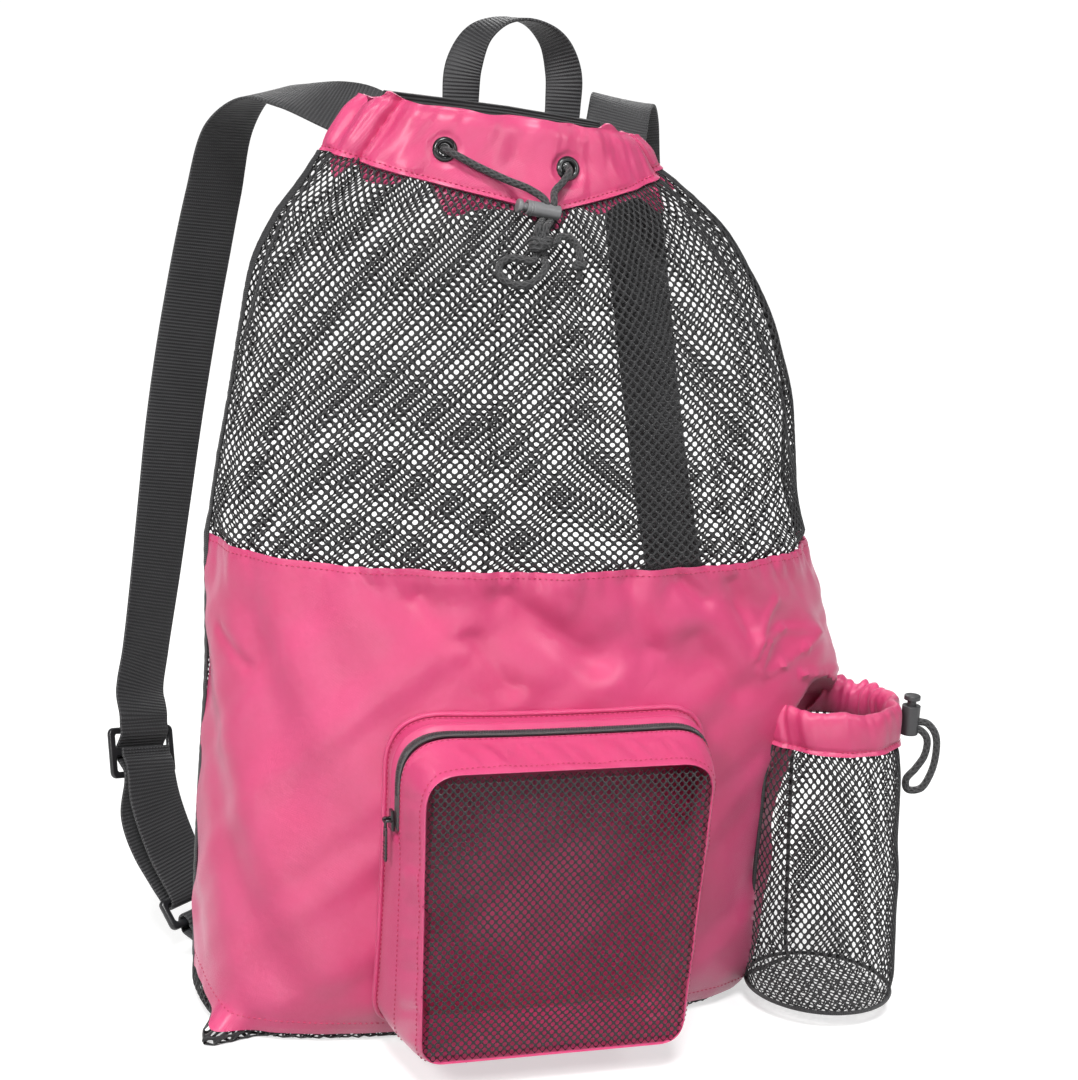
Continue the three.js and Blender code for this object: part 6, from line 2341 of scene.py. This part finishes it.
@dataclass
class FrontPocket:
    """Pink gusset with a net window and a coil zip round its top."""

    form: BagForm
    base: Outline = field(default_factory=lambda: Outline(-99, 86, 18, 205, 5, 30, 20))
    face: Outline = field(default_factory=lambda: Outline(-93, 76, 20, 188, 7, 22, 15))
    face_y: float = -130.0
    crown: float = 5.0
    off_panel: float = 1.4
    cloth: float = 1.2
    # share of the depth and step in from the outline
    profile: Table = (
        (0.0, 0.0), (0.35, -1.8), (0.75, -1.0), (0.955, 0.2), (1.0, 1.1), (0.985, 1.9),
    )
    stitch_rows: Table = ((0.93, 0.1), (0.505, -1.6), (0.07, -0.5))
    piping_at: tuple[float, float] = (0.02, -1.3)
    zip_depth: float = 0.35
    zip_inset: float = -1.8
    zip_width: float = 6.0
    zip_from: float = 0.105
    zip_to: float = 0.7
    slider_back: float = 0.012
    gusset_soft: Wave = Wave(0.9, 36.0, 0.7)
    gusset_fine: Wave = Wave(0.45, 13.0, 3.0)
    window_slack: Wave = Wave(1.1, 44.0, 1.1)
    window_cross: Wave = Wave(0.8, 31.0, 2.9)
    tooth_pitch: float = 1.5
    slider_half: float = 5.5
    slider_side: float = 4.0
    pin_high: float = 4.4
    # left, low, width, height and corner of the pull and its hole, and places of its ribs
    pull_tab: tuple[float, ...] = (-2.3, -24, 4.6, 20.3, 1.9)
    pull_hole: tuple[float, ...] = (-1.0, -9.4, 2.0, 3.4, 0.9)
    pull_ribs: tuple[float, ...] = (-13.0, -15.2, -17.4, -19.6, -21.8)
    round_long: float = 690.0
    gusset_cut: tuple[float, float] = (0.69, 0.057)
    gusset_deep: float = 40.0
    net: Net = field(default_factory=lambda: Net(4.5, 5.0, 0.59, 0.59, 0.40, 0.8))
    stitch: Thread = field(default_factory=lambda: Thread(3.0, 0.66, 0.7, 0.5))

    def __post_init__(self) -> None:
        """Keep readers of the two outlines."""
        self.base_at = self.base.reader()
        self.face_at = self.face.reader()

    def tangent(self, share: Array) -> Array:
        """Give the direction along the outline at the front."""
        step = 2e-3
        return unit(self.face_at(share + step) - self.face_at(share - step))

    def point(self, share: Array, depth: Array, inset: Array) -> Array:
        """Give points of the gusset.

        Args:
            share: Share of the way round.
            depth: Share of the depth, from the panel to the front.
            inset: Step in from the outline.

        Returns:
            The points.
        """
        share, depth, inset = np.broadcast_arrays(share, depth, inset)
        ahead = self.tangent(share)
        inward = np.stack([-ahead[..., 1], ahead[..., 0]], -1)
        spot = mix(self.base_at(share), self.face_at(share), depth[..., None]) + inward * inset[..., None]
        panel = self.form.panel_y(spot[..., 0], spot[..., 1]) - self.off_panel
        return np.stack([spot[..., 0], mix(panel, self.face_y, depth), spot[..., 1]], -1)

    def outward(self, share: Array) -> Array:
        """Give the outward directions of the gusset."""
        ahead = self.tangent(share)
        return np.stack([ahead[..., 1], np.zeros(ahead.shape[:-1]), -ahead[..., 0]], -1)

    def in_zip(self, share: Array) -> Array:
        """Say how far a place is within the zip's run, from 0 to 1."""
        fade = 0.008
        return smooth((share - self.zip_from + fade) / fade) * smooth((self.zip_to + fade - share) / fade)

    def gusset_inset(self, share: Array, depth: Array, inset: Array) -> Array:
        """Add the zip's groove, the folded edges beside it and soft puckers to the gusset."""
        away = (depth - self.zip_depth) / 0.105
        groove = 2.3 * np.exp(-(away**6)) * self.in_zip(share)
        edges = 0.7 * bell(np.abs(away) - 1.35, 0.35) * self.in_zip(share)
        along = share * self.round_long
        front = smooth((depth - 0.5) / 0.2) * smooth((1.0 - depth) / 0.12)
        slant = along + 26.0 * depth
        soft = self.gusset_soft.at(slant) + self.gusset_fine.at(slant)
        return inset + groove - edges - soft * front

    def gusset(self, shop: Workshop) -> None:
        """Sew the gusset with its front lip."""
        places = Spline([(depth * self.gusset_deep, inset, 0.0) for depth, inset in self.profile])
        rows = evenly(places.at(np.linspace(0, 1, 400)), 0.95)
        depth = np.clip(rows[:, 0] / self.gusset_deep, 0, 1)[None, :]
        inset = rows[:, 1][None, :]
        share = np.linspace(0, 1, 321)[:, None]
        depth, inset, share = np.broadcast_arrays(depth, inset, share)
        outer = self.point(share, depth, self.gusset_inset(share, depth, inset))
        piece = shell(outer, self.cloth).build("gusset_cloth")
        shop.dress(piece, Look.PINK, ["pocket_gusset"])
        round_it = np.linspace(0, 1, 500)
        rows_made = []
        for depth_at, inset_at in self.stitch_rows:
            deep = np.full(500, depth_at)
            line = self.point(round_it, deep, self.gusset_inset(round_it, deep, np.full(500, inset_at)))
            out = self.outward(round_it)
            rows_made.append(self.stitch.row(line + out * 0.3, out))
        sewn = shop.dress(joined(rows_made).build("gusset_stitches"), Look.PINK_THREAD)
        depth_at, inset_at = self.piping_at
        piping = self.point(round_it, np.full(500, depth_at), np.full(500, inset_at))
        cord = shop.dress(tube(evenly(piping, 2.0), 1.5, 10).build("gusset_piping", ROUND_EDGE), Look.PINK)
        area = grid_area(outer)

    def window(self, shop: Workshop) -> None:
        """Knit the net window, which bulges a little."""
        face = self.face
        rim = self.point(np.linspace(0, 1, 361), np.ones(361), np.full(361, 2.5))[:, [0, 2]]
        middle = np.array([(face.left + face.right) / 2, (face.top + face.bottom) / 2])
        away = rim - middle
        angles = np.arctan2(away[:, 1], away[:, 0])
        order = np.argsort(angles)
        reach = np.linalg.norm(away, axis=1)[order]
        angles = angles[order]
        low, high = rim.min(axis=0), rim.max(axis=0)
        width, length = high - low

        def out_share(x: Array, z: Array) -> Array:
            """Say how far places lie from the middle: 1 is on the rim."""
            angle = np.arctan2(z - middle[1], x - middle[0])
            return np.hypot(x - middle[0], z - middle[1]) / np.interp(angle, angles, reach, period=TURN)

        def maker(u: Array, v: Array) -> Array:
            """Give points of the window."""
            x, z = low[0] + u * width, low[1] + v * length
            share = out_share(x, z)
            rise = self.crown * smooth((1 - share) * 1.6)
            slack = self.window_slack.at(x * 0.8 + z) + self.window_cross.at(z - 0.6 * x)
            y = self.face_y + 0.35 - rise - slack * smooth((1 - share) * 3) * 0.8
            return np.stack([x, y, z], -1)

        def keep(u: Array, v: Array) -> Array:
            """Keep what lies inside the lip's edge."""
            return out_share(low[0] + u * width, low[1] + v * length) < 1.0

        size = (width, length)
        self.net.sew(shop, "window_net", ["pocket_window"], maker, size, keep, rests_on="pocket_gusset")

    def zip_line(self, lift: float, begin: float, end: float, count: int) -> tuple[Array, Array, Array]:
        """Give the middle of the zip, its outward directions and its directions ahead."""
        share = np.linspace(begin, end, count)
        out = self.outward(share)
        line = self.point(share, np.full(count, self.zip_depth), np.full(count, self.zip_inset)) + out * lift
        return line, out, unit(np.gradient(line, axis=0))

    def chain(self, shop: Workshop) -> None:
        """Make the zip's tape and its two rows of coil teeth."""
        line, out, ahead = self.zip_line(-1.4, self.zip_from + 0.004, self.zip_to - 0.004, 260)
        across = unit(np.cross(out, ahead))
        half = self.zip_width / 2 + 1.4
        places = np.linspace(1, -1, 9)
        outer = np.stack([line + across * s * half + out * (0.25 - 0.25 * s * s) for s in places], 1)
        tape = shell(outer, 0.8)
        line, out, ahead = self.zip_line(-0.75, self.zip_from + 0.006, self.zip_to - 0.03, 900)
        across = unit(np.cross(out, ahead))
        run = run_along(line)
        count = int(run[-1] / self.tooth_pitch)
        teeth = []
        bend = np.linspace(-0.15, 1.15, 6) * math.pi
        for k in range(2 * count):
            i = int(np.searchsorted(run, (k + 0.5) * self.tooth_pitch / 2))
            i = min(i, len(run) - 1)
            way = 1.0 if k % 2 else -1.0
            reach = 2.1 * np.cos(bend / 1.3) * way
            rise = 0.95 * np.sin(np.clip(bend, 0, math.pi))
            loop = line[i] + across[i] * reach[:, None] + out[i] * rise[:, None]
            teeth.append(tube(loop, 0.38, 4))
        shop.dress(tape.build("zip_tape"), Look.TAPE, ["zip_chain"])
        shop.dress(joined(teeth).build("zip_teeth", 70), Look.COIL)

    def slider(self, shop: Workshop) -> None:
        """Make the zip's slider, with a bridge, and the pull that swings on its pin."""
        share = np.array(self.zip_to - self.slider_back)
        out = self.outward(share)
        base = self.point(share, np.array(self.zip_depth), np.array(self.zip_inset)) + out * 1.1
        axes = Axes(base, -Y_WAY, np.cross(Y_WAY, out), out)
        half, side = self.slider_half, self.slider_side
        t = np.linspace(0, 1, 9)
        right = np.stack(
            [(1 - t) ** 2 * side + 2 * t * (1 - t) * side + t * t * side * 0.55, -half + t * t * 2 * half], -1
        )
        outline = np.vstack([right, (right * (-1, 1))[::-1]])
        body = plate("zip_slider_body", [outline], 2.0, 0.5, axes.shifted(0, 0, 1.0))
        shop.dress(body, Look.ENAMEL, ["zip_slider"])
        posts = []
        rises = ((-0.2, 1.6), (0, 3.0), (0, self.pin_high), (0, 5.2))
        for way in (-1, 1):
            x = way * 2.25
            line = np.array([axes.spot(x, y, z) for y, z in rises])
            posts.append(tube(line, np.array([1.1, 0.95, 0.85, 0.6]), 12))
        pin = np.array([axes.spot(x, 0, self.pin_high) for x in np.linspace(-2.5, 2.5, 8)])
        posts.append(tube(pin, 0.7, 12))
        shop.dress(joined(posts).build("zip_slider_bridge"), Look.ENAMEL)
        hung = axes.shifted(0, 0, self.pin_high)
        outlines = [rectangle(*self.pull_tab), rectangle(*self.pull_hole)]
        blade = plate("zip_pull_blade", outlines, 1.4, 0.45, hung)
        shop.dress(blade, Look.ENAMEL, ["zip_pull"], "zip_pull")
        eye_axes = Axes(hung.origin, hung.y, hung.z, hung.x)
        ring = [(1.05, -1.2), (1.8, -1.2), (1.8, 1.2), (1.05, 1.2), (1.05, -1.2)]
        eye = turned(rounded(ring, [0, 0.35, 0.35, 0.35, 0]), 28, eye_axes)
        neck = np.array([hung.spot(0, y, 0) for y in np.linspace(-1.5, -4.6, 6)])
        ribs = []
        for y in self.pull_ribs:
            for face in (-0.72, 0.72):
                rib = np.array([hung.spot(x, y, face) for x in np.linspace(-1.5, 1.5, 6)])
                ribs.append(tube(rib, 0.34, 8))
        grip = joined([eye, tube(neck, 0.85, 10), *ribs])
        shop.dress(grip.build("zip_pull_grip"), Look.ENAMEL, [], "zip_pull")

    def build(self, shop: Workshop) -> None:
        """Make the whole pocket."""
        self.gusset(shop)
        self.window(shop)
        self.chain(shop)
        self.slider(shop)


# Bottle pocket


@dataclass
class BottlePocket:
    """Net tube with a gathered pink rim, elastic cord and lock."""

    form: BagForm
    # height and radius
    tube_rows: Table = ((9, 41), (13, 45), (24, 47), (100, 46.5), (150, 45.5), (172, 44))
    net_radius: float = 46.5
    # part of the tube that lies outside the bag, and length of its floor in radii
    net_share: float = 0.66
    floor_long: float = 1.4
    floor_z: float = 9.6
    seam_span: tuple[float, float] = (10, 172)
    hem_radius: float = 44.2
    hem_z: float = 11.5
    binding: float = 1.3
    collar_bottom: float = 173.0
    collar_height: float = 25.0
    collar_radius: float = 44.5
    flare: float = 2.5
    ruffle: float = 2.0
    folds: int = 12
    fold_radius: float = 44.0
    rim_cut: tuple[float, float] = (0.25, 0.09)
    lock_turn: float = math.radians(67.5)
    lock_z: float = 186.0
    lock_reach: float = 49.5
    strands: tuple[float, float] = (0.8, 5.5)
    cord: float = 4.4
    seam_gap: float = 0.8
    tube_soft: Wave = Wave(0.7, 46.0, 1.6)
    rim_fine: Wave = Wave(2.4, 8.5, 0.8)
    rim_soft: Wave = Wave(1.0, 34.0, 2.1)
    rim_edge: Wave = Wave(2.2, 8.5, 1.4)
    rim_lean: Wave = Wave(1.1, 31.0, 0.4)
    # step inwards and share of the height, from the outer hem over the top to the inner hem
    rim: Table = (
        (0, 0), (0, 0.3), (0, 0.58), (-0.4, 0.8), (-1.6, 0.94), (-3.8, 1), (-6, 0.94), (-7, 0.8),
        (-6, 0.5), (-4, 0.08),
    )
    run: Table = (
        (10.5, -1.6), (16, -8), (17.5, -20), (15.5, -33), (10.5, -42.5), (3, -43.5), (1.5, -37.5),
        (6.5, -30), (11, -21), (11, -10.5),
    )
    lock: LockSizes = field(
        default_factory=lambda: LockSizes(18, 5.5, 3.1, 6, 0.8, 2.7, 5.4, 4.9, 3, 3, -2.1, 8.4, 5.6, 0)
    )
    net: Net = field(default_factory=lambda: Net(5.0, 6.9, 0.62, 0.62, 0.40, 0.9))

    def spot(self, radius: Array, z: Array, turn: Array) -> Array:
        """Give points round the pocket's middle; a turn of 0 faces the front."""
        x, y = self.form.axis(z)
        radius, z, turn, x = np.broadcast_arrays(radius, z, turn, x)
        return np.stack([x + radius * np.sin(turn), y - radius * np.cos(turn), z], -1)

    def radius_at(self, z: Array) -> Array:
        """Give the tube's radius at heights."""
        table = np.array(self.tube_rows)
        return np.interp(z, table[:, 0], table[:, 1])

    def outside(self, points: Array, share: float) -> Array:
        """Say which points lie outside the bag's plain face."""
        return self.form.share_out(points[..., 0], points[..., 1], points[..., 2]) > share

    def tube_net(self, shop: Workshop) -> None:
        """Knit the tube and its floor."""
        low, high = self.tube_rows[0][0], self.tube_rows[-1][0] + 5.0
        length = high - low + 4.0
        width = TURN * self.net_radius

        def maker(u: Array, v: Array) -> Array:
            """Give points of the tube."""
            turn = TURN * (u - 0.5)
            z = mix(low, high, v)
            soft = self.tube_soft.at(u * width + 0.8 * z) * smooth((z - 20) / 30)
            tucked = -1.9 * smooth((z - 168) / 5)
            return self.spot(self.radius_at(z) - 0.8 + soft + tucked, z, turn)

        def keep(u: Array, v: Array) -> Array:
            """Keep what lies outside the bag."""
            return self.outside(maker(u, v), 1.0)

        flat = (width * self.net_share, length)
        self.net.sew(shop, "bottle_net", ["bottle_pocket_mesh"], maker, (width, length), keep, flat)
        floor = self.tube_rows[0][1] + 1.0

        def ground(u: Array, v: Array) -> Array:
            """Give points of the floor."""
            x0, y0 = self.form.axis(np.array(self.floor_z + 0.2))
            x = x0 + (2 * u - 1) * floor
            y = y0 + (2 * v - 1) * floor
            rise = 0.9 * smooth((np.hypot(x - x0, y - y0) / floor - 0.8) * 5)
            return np.stack([x, y, self.floor_z + rise], -1)

        def keep_ground(u: Array, v: Array) -> Array:
            """Keep the round floor outside the bag."""
            inside = np.hypot(2 * u - 1, 2 * v - 1) < 0.97
            return inside & self.outside(ground(u, v), 1.0)

        spread = (2 * floor, 2 * floor)
        flat = (2 * floor, self.floor_long * floor)
        nodes = ["bottle_pocket_base"]
        self.net.sew(shop, "bottle_floor_net", nodes, ground, spread, keep_ground, flat, "bottle_pocket_mesh")

    def seams(self, shop: Workshop) -> None:
        """Sew the net to the panel with narrow tape, and bind its lower edge."""
        turns = np.linspace(-math.pi, math.pi, 721)
        lines: list[Array] = []
        for way in (1, -1):
            line = []
            for z in np.linspace(*self.seam_span, 60):
                points = self.spot(self.radius_at(np.array(z)), np.array(z), turns)
                out = self.outside(points, 1.0)
                i = int(np.argmax(np.where(out, np.cos(turns - 0.9), -9)))
                while out[i] and 0 < i < len(turns) - 1:
                    i += way
                line.append(points[i])
            lines.append(np.array(line))
        low = self.spot(np.array(self.hem_radius), np.array(self.hem_z), turns)
        kept = low[self.outside(low, 1.0)]
        gaps = np.linalg.norm(np.diff(kept, axis=0), axis=1)
        if gaps.max() > 5:
            kept = np.roll(kept, -int(np.argmax(gaps)) - 1, axis=0)
        lines.append(kept)
        made = joined([tube(evenly(line, 2.0), self.binding, 8) for line in lines])
        shop.dress(made.build("bottle_binding", ROUND_EDGE), Look.TAPE)

    def collar_at(self, turn: Array, v: Array) -> Array:
        """Give the rim's radius at turns and shares of its height."""
        near = 0.3 + 0.7 * bell(turn - self.lock_turn, 0.3)
        wave = -self.ruffle * near * (0.35 + 0.65 * v) * np.cos((turn - self.lock_turn) * self.folds)
        return self.collar_radius - self.flare + self.flare * (2 * v - 1) ** 2 + wave

    def collar(self, shop: Workshop) -> None:
        """Sew the gathered pink rim: a doubled tunnel, puffed and rolled over at its top."""
        rolled = Spline([(inward, share * self.collar_height, 0) for inward, share in self.rim])
        rows = evenly(rolled.at(np.linspace(0, 1, 400)), 1.15)
        inward = rows[:, 0][None, :]
        v = np.clip(rows[:, 1] / self.collar_height, 0, 1)[None, :]
        turn = np.linspace(-math.pi, math.pi, 311)[:, None]
        turn, v, inward = np.broadcast_arrays(turn, v, inward)
        along = turn * self.fold_radius
        gathered = 0.12 + bell(turn + 1.45, 0.42) + 0.8 * bell(turn - 2.1, 0.45)
        fine = self.rim_fine.at(along + 5 * v) * gathered * (0.45 + 0.55 * v)
        soft = self.rim_soft.at(along + 16 * v)
        front = np.where(inward > -3.8, 1.0, -0.3)
        puff = 2.8 * np.sin(math.pi * np.clip((v - 0.1) / 0.86, 0, 1)) ** 0.8 * front
        hem = -0.6 * bell(v - 0.11, 0.04) * (front > 0)
        away = bell(turn - self.lock_turn, 0.22)
        lift = (fine + soft + puff) * (1 - 0.92 * away) + hem
        z = self.collar_bottom + self.collar_height * v
        wavy = self.rim_edge.at(along) * gathered + self.rim_lean.at(along)
        z = z + wavy * smooth((v - 0.4) / 0.6) * (1 - away)
        outer = self.spot(self.collar_at(turn, v) + lift + inward, z, turn)
        gone = ~self.outside(cells(outer), 0.985)
        made = shell(outer, 0.9, gone)
        piece = shop.dress(made.build("bottle_rim_cloth"), Look.PINK, ["bottle_pocket_collar"])
        turns = np.linspace(-math.pi, math.pi, 400)
        level = np.full(400, 0.11)
        height = self.collar_bottom + self.collar_height * level
        line = self.spot(self.collar_at(turns, level) + 0.1, height, turns)
        keep = self.outside(line, 1.0)
        out = np.stack([np.sin(turns), -np.cos(turns), np.zeros(400)], -1)
        row = Thread(3.0, 0.66, 0.7, 0.5).row(line[keep], out[keep])
        sewn = shop.dress(row.build("bottle_rim_stitches"), Look.PINK_THREAD)
        area = grid_area(outer, gone)
        flat, under = self.rim_cut, ["bottle_pocket_mesh"]
        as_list(under)

    def closing(self, shop: Workshop) -> None:
        """Make the elastic cord and its lock."""
        through = np.array([math.sin(self.lock_turn), -math.cos(self.lock_turn), 0.0])
        x, y = self.form.axis(np.array(self.lock_z))
        at = np.array([float(x), y, self.lock_z]) + through * self.lock_reach
        rim = float(self.collar_at(np.array(self.lock_turn), np.array(0.5)))
        inside = rim + 3 * self.seam_gap - self.lock_reach
        upper, lower = self.strands
        edge = self.lock.radius
        places = [(inside, -upper), (edge, -upper), *self.run, (edge, -lower), (inside, -lower)]
        route = [at + through * right + Z_WAY * up for right, up in places]
        Cord("bottle_cord", route, self.cord, route[0], "object", "hanging").build(shop)
        CordLock("bottle_lock", at, -Z_WAY, through, self.lock).build(shop)

    def build(self, shop: Workshop) -> None:
        """Make the pocket's net, seams and rim."""
        self.tube_net(shop)
        self.seams(shop)
        self.collar(shop)


def main() -> None:
    """Build the studio and every sub-assembly, and report the pieces."""
    logging.basicConfig(level=logging.INFO, format="%(name)s %(message)s")
    Studio().build()
    form = BagForm()
    shop = Workshop()
    drawcord = Drawcord(form)
    drawcord.build(shop)
    bottle = BottlePocket(form)
    bottle.closing(shop)
    eyelets = [drawcord.eyelet_axes(x, z) for _, x, z in drawcord.eyelets]
    BagBody(form, eyelets).build(shop)
    FrontPocket(form).build(shop)
    bottle.build(shop)
    Carrying(form).build(shop)
    log.info("%d pieces, %d triangles", shop.count, shop.triangles)


if __name__ == "__main__":
    main()
